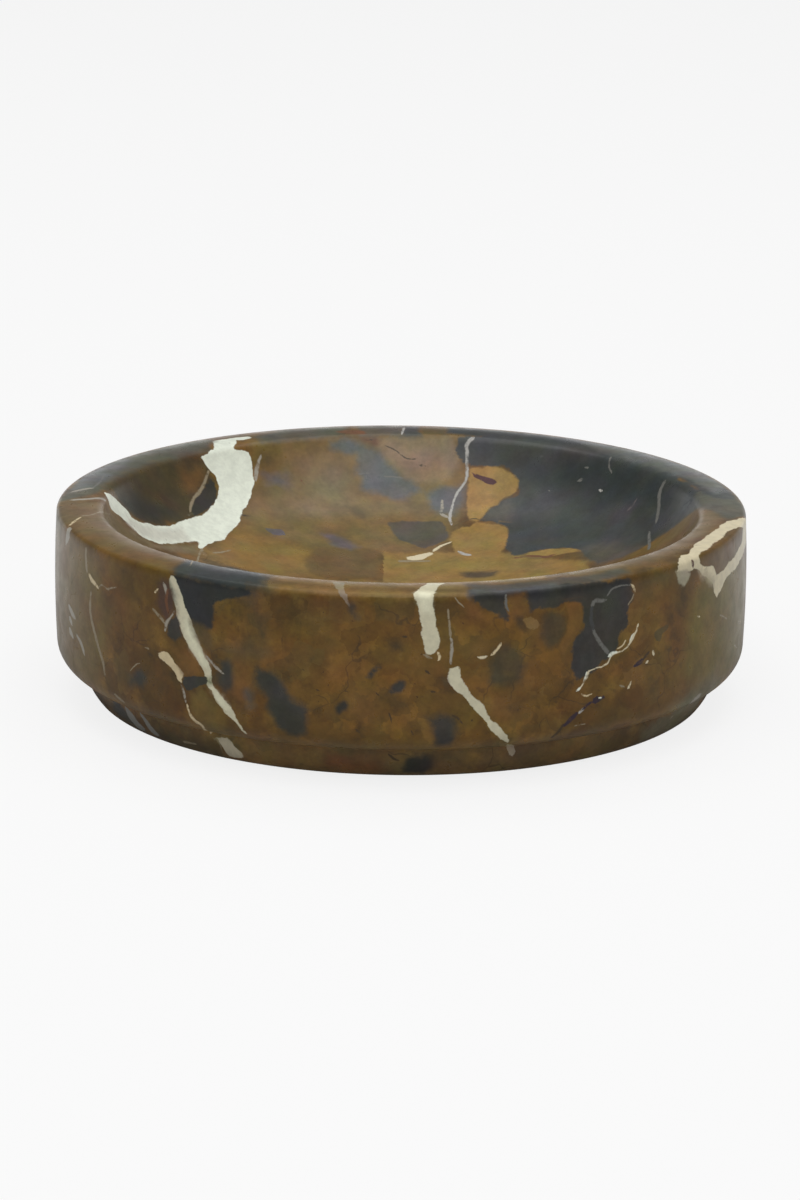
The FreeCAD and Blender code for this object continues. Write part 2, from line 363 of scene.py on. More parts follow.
def make_world():
    world = bpy.data.worlds.new("tent")
    bpy.context.scene.world = world
    world.use_nodes = True
    tree = world.node_tree
    tree.nodes.clear()
    across, along, height = parts(tree, add_node(tree, "TexCoord", {}).outputs["Generated"])
    dimmed = maths(tree, "MULTIPLY", slope(tree, along, TENT_Y), slope(tree, height, TENT_Z))
    level = slope(tree, dimmed, (0, 1), TENT_LEVEL, TENT_BACK_LEVEL)
    strip = slope(tree, across, STRIP_X, STRIP_LEFT, STRIP_RIGHT)
    strip = maths(tree, "MULTIPLY", slope(tree, height, STRIP_Z), strip)
    strip = maths(tree, "MULTIPLY", strip, slope(tree, along, STRIP_Y))
    strength = slope(tree, strip, (0, 1), level, HORIZON_LEVEL)
    tent = add_node(tree, "Background", {"Color": as_colour(PURE_WHITE), "Strength": strength})
    white = add_node(tree, "Background", {"Color": as_colour(PURE_WHITE), "Strength": BACKDROP_LEVEL})
    add_node(tree, "OutputWorld", {"Surface": for_camera(tree, tent.outputs[0], white.outputs[0])})


def make_floor():
    corners = [(-FLOOR_REACH, -FLOOR_REACH, 0), (FLOOR_REACH, -FLOOR_REACH, 0),
               (FLOOR_REACH, FLOOR_REACH, 0), (-FLOOR_REACH, FLOOR_REACH, 0)]
    floor = make_mesh("floor", corners, [(0, 1, 2, 3)])
    material = bpy.data.materials.new("pale_floor")
    material.use_nodes = True
    tree = material.node_tree
    tree.nodes.clear()
    along = parts(tree, add_node(tree, "TexCoord", {}).outputs["Object"])["Y"]
    shade = blend(tree, slope(tree, along, FLOOR_Y), FLOOR_FRONT, FLOOR_BACK)
    card = add_node(tree, "BsdfDiffuse", {"Color": shade})
    seen = add_node(tree, "BsdfDiffuse", {"Color": as_colour(FLOOR_SEEN)})
    glow = add_node(tree, "Emission", {"Strength": FLOOR_GLOW})
    pale = add_node(tree, "AddShader", {0: seen.outputs[0], 1: glow.outputs[0]})
    add_node(tree, "OutputMaterial", {"Surface": for_camera(tree, card.outputs[0], pale.outputs[0])})
    floor.data.materials.append(material)


area_light("overhead", (0, 0.05, 0.9), size=1.0, power=4.5)
area_light("front", (0, -0.87, 0.97), size=0.9, power=5.3)
make_world()
make_floor()

# Figure of the stone
# Colours of the stone's parts, as linear reflectances
WHITE = (0.80, 0.84, 0.72)
PLASTER = (0.66, 0.66, 0.56)
LINEN = (0.40, 0.34, 0.22)
CHALK = (0.64, 0.60, 0.43)
MILK = (0.81, 0.79, 0.58)
IVORY = (0.68, 0.60, 0.41)
CREAM = (0.66, 0.54, 0.33)
BONE = (0.57, 0.51, 0.37)
ASH = (0.34, 0.31, 0.25)
PALE = (0.27, 0.22, 0.14)
STEEL = (0.150, 0.148, 0.132)
PEARL = (0.42, 0.41, 0.38)
PEWTER = (0.235, 0.23, 0.205)
MIST = (0.104, 0.107, 0.098)
SMOKE = (0.088, 0.076, 0.054)
SLATE = (0.056, 0.057, 0.055)
GRAPHITE = (0.042, 0.047, 0.045)
HAZE = (0.044, 0.050, 0.047)
# Grey stone darkened by painted shade
PAINTED_SHADE_GREY = (0.029, 0.035, 0.033)
TEAL = (0.036, 0.040, 0.038)
LICHEN = (0.084, 0.080, 0.052)
GREY = (0.044, 0.041, 0.033)
SHADE = (0.034, 0.031, 0.024)
CHARCOAL = (0.026, 0.027, 0.026)
LILAC = (0.115, 0.098, 0.098)
HEATHER = (0.062, 0.055, 0.053)
GOLD = (0.31, 0.190, 0.045)
MUSTARD = (0.285, 0.175, 0.044)
HONEY = (0.215, 0.130, 0.037)
SAND = (0.185, 0.130, 0.058)
BUTTER = (0.262, 0.165, 0.040)
OCHRE = (0.220, 0.132, 0.030)
KHAKI = (0.080, 0.057, 0.026)
FERN = (0.066, 0.078, 0.046)
FAWN = (0.150, 0.089, 0.025)
ROSE = (0.225, 0.155, 0.080)
DUN = (0.200, 0.148, 0.074)
CLAY = (0.165, 0.130, 0.066)
BRONZE = (0.138, 0.082, 0.024)
HAZEL = (0.155, 0.096, 0.022)
OAK = (0.155, 0.108, 0.020)
AMBER = (0.130, 0.074, 0.019)
ORANGE = (0.175, 0.086, 0.019)
TAN = (0.18, 0.118, 0.038)
OLIVE = (0.105, 0.072, 0.024)
MOSS = (0.066, 0.047, 0.018)
UMBER = (0.060, 0.038, 0.016)
RUST = (0.15, 0.062, 0.026)
BRICK = (0.085, 0.042, 0.024)
MAROON = (0.070, 0.020, 0.020)
PLUM = (0.036, 0.022, 0.034)

# How soft and how ragged an edge is
TINY = (0.0001, 0.0001)
CRISP = (0.0001, 0.00042)
MILD = (0.0004, 0.0003)
FIRM = (0.0003, 0.0005)
ROUGH = (0.0003, 0.0008)
SOFT = (0.0009, 0.0007)
FAINT = (0.0022, 0.0009)

# Patches seen in the photograph: colour, kind of edge and outline in its pixels. Later ones lie on top.
BOWL_CLOUDS = [
    (TAN, FAINT, [(250, 440), (300, 437), (380, 436), (460, 437), (466, 470), (462, 500), (455, 540),
        (440, 556), (400, 556), (370, 550), (320, 548), (280, 540), (236, 528), (248, 500), (254, 470)]),
    (HAZEL, FAINT, [(256, 448), (276, 446), (284, 470), (282, 500), (262, 512), (254, 490)]),
    (SAND, FAINT, [(300, 462), (330, 452), (350, 476), (354, 500), (330, 518), (306, 512)]),
    (OLIVE, FAINT, [(264, 454), (274, 456), (274, 466), (265, 466)]),
    (OLIVE, FAINT, [(268, 487), (277, 488), (276, 493), (268, 493)]),
    (LILAC, FAINT, [(264, 474), (284, 476), (286, 484), (268, 486)]),
    (ROSE, SOFT, [(376, 440), (400, 438), (430, 438), (452, 437), (456, 452), (459, 462), (452, 478),
        (440, 484), (424, 484), (404, 478), (392, 466), (380, 452)]),
    (OCHRE, FAINT, [(236, 530), (262, 534), (300, 546), (318, 552), (312, 578), (270, 574), (225, 564),
        (204, 552)]),
    (BRONZE, SOFT, [(316, 549), (345, 546), (379, 551), (378, 562), (376, 577), (340, 577), (310, 572),
        (304, 560)]),
    (OLIVE, SOFT, [(347, 507), (356, 506), (364, 510), (368, 517), (362, 519), (354, 513)]),
    (OLIVE, FAINT, [(320, 527), (334, 530), (344, 540), (330, 538)]),
    (BUTTER, SOFT, [(384, 552), (440, 552), (500, 552), (585, 561), (604, 568), (560, 577), (470, 583),
        (379, 583)]),
]
BOWL_GREYS = [
    (GRAPHITE, ROUGH, [(458, 436), (540, 437), (620, 452), (672, 472), (700, 492), (708, 508), (690, 514),
        (675, 527), (658, 538), (642, 548), (624, 556), (600, 562), (587, 558), (580, 550), (570, 548),
        (550, 549), (533, 551), (515, 555), (504, 546), (508, 536), (507, 527), (492, 522), (478, 521),
        (484, 516), (489, 508), (506, 499), (517, 495), (519, 484), (514, 474), (503, 467), (476, 467),
        (462, 462), (457, 450)]),
    (HAZE, FAINT, [(510, 500), (540, 496), (580, 505), (600, 520), (584, 538), (550, 545), (515, 552),
        (506, 530)]),
    (SMOKE, FAINT, [(484, 517), (492, 508), (507, 501), (513, 508), (508, 520), (494, 521)]),
    (SLATE, FAINT, [(470, 438), (560, 442), (604, 452), (590, 462), (530, 458), (470, 452)]),
    # Grey stone darkened by painted shade on the steep right inner wall near the rim
    (PAINTED_SHADE_GREY, FAINT, [(560, 460), (620, 462), (680, 484), (690, 500), (640, 504), (592, 496), (560, 480)]),
    (SMOKE, FAINT, [(582, 548), (600, 542), (625, 544), (640, 546), (622, 558), (600, 564), (586, 558)]),
    (HEATHER, FAINT, [(612, 516), (620, 512), (630, 504), (640, 502), (634, 511), (622, 520), (614, 524)]),
    (MIST, SOFT, [(330, 443), (345, 439), (364, 443), (377, 450), (390, 465), (402, 478), (418, 484),
        (423, 490), (412, 495), (402, 500), (390, 500), (377, 494), (362, 489), (361, 479), (356, 473),
        (357, 454), (345, 453), (332, 450)]),
    (MIST, SOFT, [(426, 494), (441, 486), (454, 484), (468, 485), (464, 500), (454, 515), (441, 515),
        (430, 511)]),
    (SMOKE, FIRM, [(388, 523), (402, 521), (422, 521), (441, 521), (447, 527), (448, 537), (438, 545),
        (422, 548), (410, 543), (399, 540), (394, 534)]),
    (LILAC, SOFT, [(322, 534), (335, 535), (346, 540), (359, 547), (351, 550), (332, 545)]),
    # Painted shadow: a dark olive band in the bowl just behind the front rim
    (KHAKI, SOFT, [(459, 572), (498, 571), (494, 577), (463, 578)]),
]
BOWL_GOLDS = [
    (GOLD, FIRM, [(470, 468), (486, 466), (503, 467), (511, 473), (518, 481), (517, 492), (508, 497),
        (500, 500), (498, 505), (490, 508), (483, 516), (478, 521), (468, 520), (468, 505), (467, 490)]),
    (MAROON, TINY, [(470, 472), (477, 474), (486, 477), (494, 479), (498, 483), (494, 485), (487, 484),
        (480, 480), (474, 477)]),
    (MUSTARD, FIRM, [(453, 530), (462, 527), (470, 527), (477, 522), (500, 524), (507, 527), (507, 536),
        (504, 548), (498, 556), (494, 564), (472, 566), (458, 560), (452, 548), (450, 538)]),
    (GOLD, FIRM, [(526, 553), (548, 549), (570, 548), (582, 551), (562, 554), (545, 557), (530, 557)]),
    (HAZEL, SOFT, [(626, 556), (642, 548), (658, 538), (675, 527), (685, 518), (697, 510), (692, 522),
        (676, 537), (656, 549), (634, 557)]),
    (LILAC, CRISP, [(264, 527), (272, 528), (282, 529), (285, 535), (274, 535), (266, 531)]),
    (RUST, SOFT, [(362, 438), (377, 439), (376, 444), (364, 443)]),
]
CRESCENT = [
    # These first five patches are partly a dark clast, partly painted shade of the steep left inner wall
    (KHAKI, SOFT, [(102, 488), (124, 471), (150, 460), (186, 451), (208, 445), (212, 452), (188, 459),
        (150, 468), (124, 480), (108, 492)]),
    (MOSS, SOFT, [(106, 486), (124, 476), (150, 464), (186, 456), (204, 458), (211, 474), (217, 484),
        (216, 500), (206, 512), (188, 519), (160, 525), (140, 520), (122, 504)]),
    (AMBER, FAINT, [(180, 470), (203, 466), (205, 480), (196, 492), (184, 490)]),
    (SHADE, FAINT, [(114, 496), (132, 492), (152, 500), (172, 512), (160, 522), (138, 518)]),
    (UMBER, SOFT, [(133, 478), (154, 490), (173, 500), (187, 507), (186, 512), (170, 507), (150, 497),
        (132, 483)]),
    (SHADE, CRISP, [(211, 478), (216, 484), (217, 492), (215, 500), (208, 508), (202, 513), (194, 515),
        (192, 508), (194, 500), (200, 494), (205, 486)]),
    (DUN, SOFT, [(126, 529), (133, 531), (140, 537), (148, 542), (160, 545), (178, 545), (196, 545),
        (201, 553), (186, 553), (164, 549), (146, 545), (134, 538)]),
    (WHITE, CRISP, [(105, 493), (108, 500), (111, 509), (120, 516), (128, 523), (133, 528), (140, 535),
        (146, 539), (156, 543), (167, 544), (178, 543), (192, 541), (201, 541), (197, 551), (199, 552),
        (203, 547), (215, 541), (224, 539), (232, 529), (240, 521), (242, 511), (248, 503), (252, 497),
        (253, 489), (255, 481), (252, 471), (251, 463), (250, 455), (247, 451), (241, 450), (235, 450),
        (233, 447), (237, 444), (236, 440), (244, 440), (252, 438), (250, 436), (232, 438), (213, 441),
        (214, 444), (214, 449), (208, 454), (204, 456), (198, 459), (203, 460), (207, 466), (211, 471),
        (215, 476), (218, 483), (219, 489), (218, 497), (216, 503), (208, 511), (202, 515), (196, 517),
        (186, 520), (176, 524), (167, 526), (157, 526), (149, 524), (138, 521), (132, 518), (128, 511),
        (125, 508), (120, 503), (114, 497), (109, 494)]),
    # Painted soft shade on the white of the crescent's lower part
    (PLASTER, SOFT, [(126, 514), (140, 524), (160, 529), (184, 528), (190, 540), (167, 542), (146, 538),
        (128, 524)]),
]
RIM_PATCHES = [
    (FAWN, SOFT, [(60, 510), (112, 512), (128, 530), (150, 545), (175, 556), (192, 563), (176, 574),
        (150, 567), (110, 553), (80, 537), (60, 522)]),
    (LICHEN, SOFT, [(58, 502), (72, 486), (92, 470), (112, 459), (140, 449), (175, 442), (206, 438),
        (214, 441), (206, 447), (186, 455), (150, 463), (124, 474), (106, 484), (96, 494), (76, 498)]),
    # Tan front of the rim; its lowest band, past the rim's edge, is painted highlight of that edge
    (HONEY, SOFT, [(256, 571), (300, 577), (340, 580), (400, 582), (466, 582), (468, 597), (400, 599),
        (340, 598), (300, 595), (258, 592)]),
    (FAWN, SOFT, [(262, 579), (300, 583), (340, 586), (400, 588), (440, 589), (466, 588), (466, 592),
        (400, 592), (340, 590), (300, 587), (262, 583)]),
    (FAWN, SOFT, [(540, 575), (590, 569), (617, 562), (640, 556), (657, 548), (681, 534), (690, 522),
        (694, 512), (698, 508), (714, 511), (724, 517), (716, 526), (704, 535), (686, 549), (662, 562),
        (628, 573), (590, 580), (548, 584)]),
    (SMOKE, SOFT, [(560, 578), (580, 577), (606, 572), (624, 567), (629, 573), (610, 581), (580, 587),
        (560, 590)]),
    (LICHEN, SOFT, [(694, 496), (708, 486), (722, 488), (746, 498), (748, 519), (728, 520), (716, 513),
        (700, 510)]),
    (SMOKE, SOFT, [(252, 437), (284, 430), (314, 428), (316, 437), (290, 440), (262, 442)]),
    (LICHEN, SOFT, [(314, 428), (334, 427), (346, 427), (344, 434), (330, 437), (315, 437)]),
    (SMOKE, SOFT, [(358, 426), (390, 425), (404, 426), (402, 436), (380, 436), (360, 436)]),
    (SLATE, SOFT, [(402, 426), (420, 426), (420, 436), (402, 436)]),
    (TEAL, SOFT, [(448, 426), (500, 428), (562, 434), (640, 449), (700, 468), (728, 486), (740, 500),
        (722, 500), (700, 492), (672, 474), (620, 455), (540, 440), (458, 435), (446, 434)]),
    (MIST, SOFT, [(566, 438), (640, 450), (700, 470), (724, 488), (716, 494), (690, 480), (650, 466),
        (600, 450)]),
    (RUST, FIRM, [(332, 432), (346, 430), (364, 431), (366, 434), (346, 434)]),
    (OLIVE, FIRM, [(422, 428), (432, 427), (444, 428), (443, 434), (424, 434)]),
    (MIST, SOFT, [(78, 480), (96, 468), (112, 460), (126, 455), (130, 462), (118, 472), (104, 480),
        (92, 488), (74, 492)]),
    (TEAL, FAINT, [(192, 561), (230, 568), (270, 575), (268, 590), (250, 592), (230, 590), (200, 583)]),
    (GRAPHITE, SOFT, [(173, 569), (192, 561), (230, 567), (248, 571), (246, 590), (230, 590), (200, 583),
        (176, 578)]),
    (CHARCOAL, FIRM, [(173, 576), (200, 581), (228, 587), (244, 590), (252, 592), (248, 594), (237, 597),
        (225, 598), (218, 600), (214, 604), (213, 612), (214, 620), (212, 628), (205, 630), (197, 628),
        (190, 622), (184, 612), (180, 601), (175, 588)]),
    (SMOKE, SOFT, [(466, 584), (500, 584), (524, 582), (556, 579), (570, 582), (540, 593), (470, 594)]),
    (GREY, ROUGH, [(470, 590), (520, 588), (556, 585), (590, 583), (628, 578), (631, 586), (634, 592),
        (633, 599), (628, 606), (628, 615), (628, 626), (621, 632), (619, 639), (622, 645), (612, 655),
        (606, 662), (597, 668), (587, 674), (581, 679), (577, 684), (574, 676), (570, 668), (572, 658),
        (573, 646), (578, 635), (582, 628), (583, 615), (582, 603), (566, 602), (557, 608), (543, 608),
        (531, 612), (529, 606), (526, 596), (508, 596), (508, 620), (501, 616), (490, 612), (482, 606),
        (475, 599)]),
]
WALL_TOP_PATCHES = [
    # Painted highlight: the rim's outer-edge highlight carried down onto the top of the wall
    (MIST, SOFT, [(470, 590), (500, 589), (530, 587), (556, 583), (560, 587), (532, 592), (500, 595),
        (470, 595)]),
    (OLIVE, FAINT, [(632, 582), (658, 572), (684, 556), (684, 568), (664, 584), (636, 596)]),
    (CHARCOAL, SOFT, [(472, 594), (520, 592), (556, 589), (590, 585), (628, 580), (630, 585), (600, 591),
        (560, 596), (530, 599), (502, 601), (474, 599)]),
]
LEFT_WALL_PATCHES = [
    (FERN, FAINT, [(50, 510), (64, 530), (72, 560), (74, 640), (66, 660), (52, 640)]),
    (HAZEL, FAINT, [(52, 520), (80, 544), (102, 566), (108, 640), (96, 684), (72, 674), (56, 640)]),
    (CHALK, CRISP, [(172, 574), (176, 580), (180, 592), (184, 604), (186, 612), (191, 622), (195, 631),
        (199, 640), (203, 649), (204, 656), (208, 662), (211, 671), (213, 683), (220, 694), (227, 704),
        (234, 713), (240, 724), (248, 735), (242, 730), (234, 721), (224, 712), (216, 700), (211, 692),
        (205, 683), (204, 673), (198, 664), (192, 652), (186, 641), (181, 631), (179, 625), (176, 612),
        (173, 600), (170, 587), (169, 579)]),
    (MILK, SOFT, [(186, 622), (192, 630), (198, 642), (203, 654), (207, 664), (203, 668), (196, 656),
        (188, 640)]),
    (MILK, SOFT, [(207, 680), (213, 686), (221, 698), (226, 708), (220, 704), (212, 692)]),
    (CREAM, CRISP, [(155, 654), (163, 651), (169, 653), (174, 659), (180, 668), (185, 675), (182, 678),
        (182, 684), (178, 681), (176, 674), (171, 668), (164, 661)]),
    (OLIVE, SOFT, [(192, 622), (204, 626), (213, 636), (212, 650), (204, 652), (196, 640)]),
    (BRICK, SOFT, [(157, 582), (169, 580), (175, 598), (177, 613), (166, 618), (157, 606)]),
    (HAZEL, SOFT, [(190, 693), (204, 690), (214, 700), (222, 712), (228, 727), (216, 732), (206, 729),
        (196, 721), (190, 707)]),
    (GREY, FIRM, [(168, 625), (176, 615), (180, 625), (183, 637), (175, 642), (167, 636)]),
    (ORANGE, SOFT, [(172, 648), (190, 652), (202, 668), (204, 676), (184, 676), (176, 664)]),
    (GREY, CRISP, [(184, 677), (196, 676), (208, 676), (208, 684), (196, 689), (186, 691), (182, 684)]),
    (GREY, SOFT, [(220, 661), (228, 660), (234, 665), (234, 674), (231, 682), (224, 687), (214, 686),
        (206, 684), (208, 679), (218, 676), (222, 669)]),
    (GREY, SOFT, [(217, 675), (226, 677), (236, 676), (234, 688), (224, 690), (219, 686)]),
    (ORANGE, SOFT, [(234, 660), (250, 660), (254, 690), (244, 700), (234, 692)]),
    (GREY, SOFT, [(255, 665), (262, 668), (274, 671), (282, 679), (286, 690), (292, 698), (299, 702),
        (308, 707), (309, 721), (308, 733), (298, 738), (286, 733), (278, 728), (272, 719), (268, 709),
        (269, 699), (262, 692), (256, 686), (255, 675)]),
    (SMOKE, SOFT, [(246, 692), (253, 692), (254, 708), (248, 708)]),
    (MOSS, FAINT, [(252, 604), (256, 603), (262, 620), (266, 636), (261, 638), (255, 622)]),
    (OLIVE, FAINT, [(216, 648), (250, 640), (268, 652), (262, 662), (236, 658)]),
    (GREY, SOFT, [(128, 674), (140, 670), (146, 676), (142, 686), (130, 684)]),
]
MIDDLE_WALL_PATCHES = [
    (CHALK, CRISP, [(446, 583), (440, 586), (436, 589), (434, 593), (433, 598), (433, 605), (435, 614),
        (436, 624), (438, 633), (440, 642), (439, 647), (435, 651), (430, 654), (426, 652), (424, 646),
        (422, 633), (420, 622), (418, 611), (416, 602), (414, 596), (417, 591), (421, 587), (430, 583)]),
    (MILK, SOFT, [(419, 592), (431, 592), (430, 604), (431, 612), (423, 612), (419, 602)]),
    (CHALK, CRISP, [(449, 668), (460, 666), (460, 677), (465, 686), (470, 693), (477, 699), (483, 705),
        (487, 714), (496, 723), (505, 734), (511, 741), (507, 744), (498, 736), (488, 726), (480, 715),
        (472, 706), (462, 696), (454, 690), (449, 680)]),
    (LINEN, CRISP, [(506, 745), (512, 744), (516, 752), (513, 756), (509, 755)]),
    (PALE, CRISP, [(333, 582), (344, 583), (345, 590), (348, 600), (350, 607), (344, 602), (338, 593)]),
    (GREY, SOFT, [(349, 604), (353, 606), (357, 618), (354, 620), (350, 612)]),
    (GREY, MILD, [(366, 677), (371, 669), (378, 665), (383, 665), (380, 670), (375, 674), (370, 678)]),
    (GREY, MILD, [(387, 695), (392, 685), (400, 680), (406, 682), (405, 688), (402, 693)]),
    (SHADE, MILD, [(335, 707), (343, 701), (348, 703), (347, 709), (338, 714)]),
    (GREY, SOFT, [(427, 719), (439, 715), (455, 718), (456, 735), (450, 745), (436, 745), (433, 732)]),
    (SHADE, SOFT, [(404, 757), (415, 753), (434, 755), (436, 766), (424, 774), (404, 772)]),
    (OLIVE, MILD, [(442, 678), (447, 680), (448, 686), (443, 684)]),
    (RUST, FAINT, [(330, 757), (352, 760), (374, 762), (374, 770), (345, 770), (322, 766)]),
    (OLIVE, FAINT, [(436, 752), (456, 750), (462, 764), (440, 768)]),
    (UMBER, SOFT, [(388, 640), (400, 642), (402, 650), (390, 650)]),
]
RIGHT_WALL_PATCHES = [
    (OAK, FAINT, [(700, 585), (750, 560), (750, 650), (738, 674), (706, 694), (688, 684), (686, 620)]),
    (KHAKI, SOFT, [(490, 664), (496, 650), (506, 645), (518, 652), (525, 666), (522, 680), (506, 688),
        (490, 682)]),
    (OLIVE, SOFT, [(502, 671), (510, 669), (514, 676), (505, 680)]),
    (UMBER, SOFT, [(514, 614), (524, 616), (526, 628), (518, 628)]),
    (ORANGE, SOFT, [(508, 596), (524, 596), (528, 612), (512, 614)]),
    (ORANGE, SOFT, [(470, 602), (478, 608), (490, 620), (480, 620), (470, 612)]),
    (HONEY, CRISP, [(523, 619), (531, 616), (539, 619), (539, 627), (533, 630), (526, 629)]),
    (KHAKI, SOFT, [(543, 615), (552, 611), (563, 612), (566, 620), (566, 631), (561, 642), (554, 648),
        (547, 650), (544, 642), (542, 631)]),
    (ORANGE, FIRM, [(566, 603), (574, 602), (581, 604), (583, 615), (581, 628), (575, 636), (570, 644),
        (563, 654), (557, 650), (562, 640), (567, 631), (568, 619)]),
    (OLIVE, CRISP, [(655, 632), (661, 628), (668, 624), (669, 628), (662, 634), (660, 642), (655, 640)]),
    (PLUM, CRISP, [(592, 702), (596, 697), (604, 695), (606, 698), (600, 702), (594, 704)]),
]
LOOP_PATCHES = [
    (IVORY, CRISP, [(748, 520), (736, 520), (726, 521), (717, 529), (704, 537), (695, 545), (688, 554),
        (681, 555), (678, 562), (677, 572), (690, 571), (694, 569), (699, 570), (702, 576), (711, 580),
        (713, 584), (714, 592), (717, 598), (720, 591), (726, 579), (735, 568), (742, 557), (748, 541)]),
    (LINEN, FIRM, [(676, 572), (684, 571), (691, 571), (689, 578), (684, 586), (679, 582)]),
    (LINEN, SOFT, [(698, 571), (706, 572), (714, 580), (714, 587), (708, 582), (700, 577)]),
    (BRONZE, CRISP, [(743, 527), (730, 531), (716, 542), (707, 549), (699, 556), (700, 563), (706, 567),
        (713, 566), (717, 575), (725, 567), (735, 555), (742, 541)]),
]
FOOT_PATCHES = [
    (KHAKI, FAINT, [(150, 728), (184, 735), (216, 742), (222, 756), (190, 748), (158, 738)]),
    (BONE, CRISP, [(216, 738), (227, 738), (231, 742), (235, 748), (240, 752), (245, 758), (236, 758),
        (228, 755), (224, 748), (220, 742)]),
    (GREY, SOFT, [(104, 694), (122, 706), (140, 724), (150, 738), (128, 722), (112, 708)]),
    (CLAY, SOFT, [(640, 730), (672, 714), (700, 698), (712, 688), (716, 694), (700, 710), (672, 728),
        (640, 744)]),
    (CLAY, FAINT, [(672, 706), (700, 684), (716, 672), (722, 680), (704, 696), (680, 712)]),
]
PATCHES = (BOWL_CLOUDS + BOWL_GREYS + BOWL_GOLDS + CRESCENT + RIM_PATCHES + WALL_TOP_PATCHES +
           LEFT_WALL_PATCHES + MIDDLE_WALL_PATCHES + RIGHT_WALL_PATCHES + LOOP_PATCHES + FOOT_PATCHES)

# Veins seen in the photograph: colour, then points along the middle as (x, y, width) in its pixels
LEFT_WALL_VEINS = [
    (ASH, [(164, 584, 3.5), (166, 590, 3), (167, 598, 1.5)]),
    (PALE, [(153, 609, 2), (159, 616, 2), (165, 623, 2.5)]),
    (ASH, [(175, 611, 1.5), (170, 618, 2), (166, 624, 3), (165, 631, 1.5)]),
    (ASH, [(181, 684, 1.5), (184, 693, 1.8), (186, 703, 1.6)]),
    (CREAM, [(187, 704, 1.6), (190, 714, 2), (195, 721, 2.4), (203, 727, 2.2), (211, 732, 1.6)]),
    (ASH, [(206, 655, 1.5), (212, 663, 2), (218, 669, 2), (224, 674, 1.5)]),
    (PALE, [(86, 548, 1.5), (86, 560, 1.5), (87, 572, 2)]),
    (CREAM, [(89, 574, 2), (92, 580, 3), (96, 585, 2.5), (98, 588, 2)]),
    (PALE, [(98, 588, 2), (102, 585, 1.5), (107, 589, 2), (111, 588, 1.5), (117, 587, 1)]),
    (PALE, [(91, 592, 1.5), (90, 608, 2), (92, 622, 2), (96, 638, 2), (99, 649, 2), (103, 662, 2),
        (105, 676, 1.5)]),
    (ASH, [(69, 606, 2), (72, 613, 3), (75, 618, 2)]),
    (ASH, [(70, 619, 3), (72, 624, 2)]),
    (ASH, [(70, 630, 3), (73, 637, 2)]),
    (ASH, [(76, 634, 1.5), (81, 643, 2.5), (84, 653, 2.5)]),
    (PALE, [(140, 663, 1), (134, 666, 1.2), (130, 671, 1)]),
    (PALE, [(145, 648, 1.5), (149, 649, 1.5)]),
    (UMBER, [(147, 651, 1.2), (150, 655, 1.8), (153, 656, 1.5)]),
    (RUST, [(168, 590, 3), (166, 600, 3), (168, 612, 2)]),
    (CREAM, [(155, 592, 2.5), (158, 589, 2)]),
]
LEFT_RIM_VEINS = [
    (ASH, [(72, 492, 1.5), (80, 490, 2), (92, 488, 1.5)]),
    (STEEL, [(92, 488, 1.5), (99, 483, 2), (105, 474, 1.5)]),
    (ASH, [(72, 500, 2), (88, 499, 2), (105, 500, 2)]),
    (CREAM, [(69, 526, 1.5), (75, 521, 1.5), (81, 517, 1)]),
    (PALE, [(82, 516, 1), (94, 514, 1.2), (110, 514, 0.8)]),
    (ASH, [(68, 530, 4), (68, 535, 4.5), (66, 543, 2)]),
]
MIDDLE_WALL_VEINS = [
    (CREAM, [(437, 652, 2), (440, 656, 3), (438, 660, 2)]),
    (PALE, [(424, 655, 2.5), (431, 658, 3)]),
    (PALE, [(448, 608, 1.5), (449, 622, 1.8), (451, 638, 2.2)]),
    (ASH, [(451, 638, 2.2), (452, 648, 3), (451, 657, 2.5), (451, 664, 2)]),
    (UMBER, [(402, 637, 1.5), (407, 637, 2)]),
    (UMBER, [(426, 671, 2.5), (430, 674, 2.5)]),
    (UMBER, [(431, 692, 2), (435, 692, 2)]),
    (UMBER, [(452, 715, 1.8), (459, 719, 2), (463, 724, 1.5)]),
    (UMBER, [(388, 754, 2), (393, 758, 2.5), (399, 761, 1.5)]),
    (UMBER, [(345, 691, 1.5), (347, 692, 1.8)]),
    (UMBER, [(376, 693, 1.8), (379, 695, 1.8)]),
    (UMBER, [(362, 682, 1.5), (366, 681, 1.5)]),
    (UMBER, [(356, 729, 2), (360, 733, 1.5)]),
    (UMBER, [(389, 713, 1.5), (392, 723, 1.5)]),
    (UMBER, [(411, 731, 1.5), (413, 735, 1.8)]),
    (UMBER, [(316, 690, 1.8), (319, 691, 1.8)]),
    (PALE, [(455, 598, 1.4), (459, 603, 1.5), (465, 608, 1.2)]),
    (STEEL, [(506, 595, 2), (506, 605, 2.4), (509, 612, 1.6)]),
    (CREAM, [(501, 643, 2), (496, 651, 2.5), (491, 655, 2)]),
    (IVORY, [(478, 657, 2), (482, 658, 2.5), (487, 656, 2)]),
]
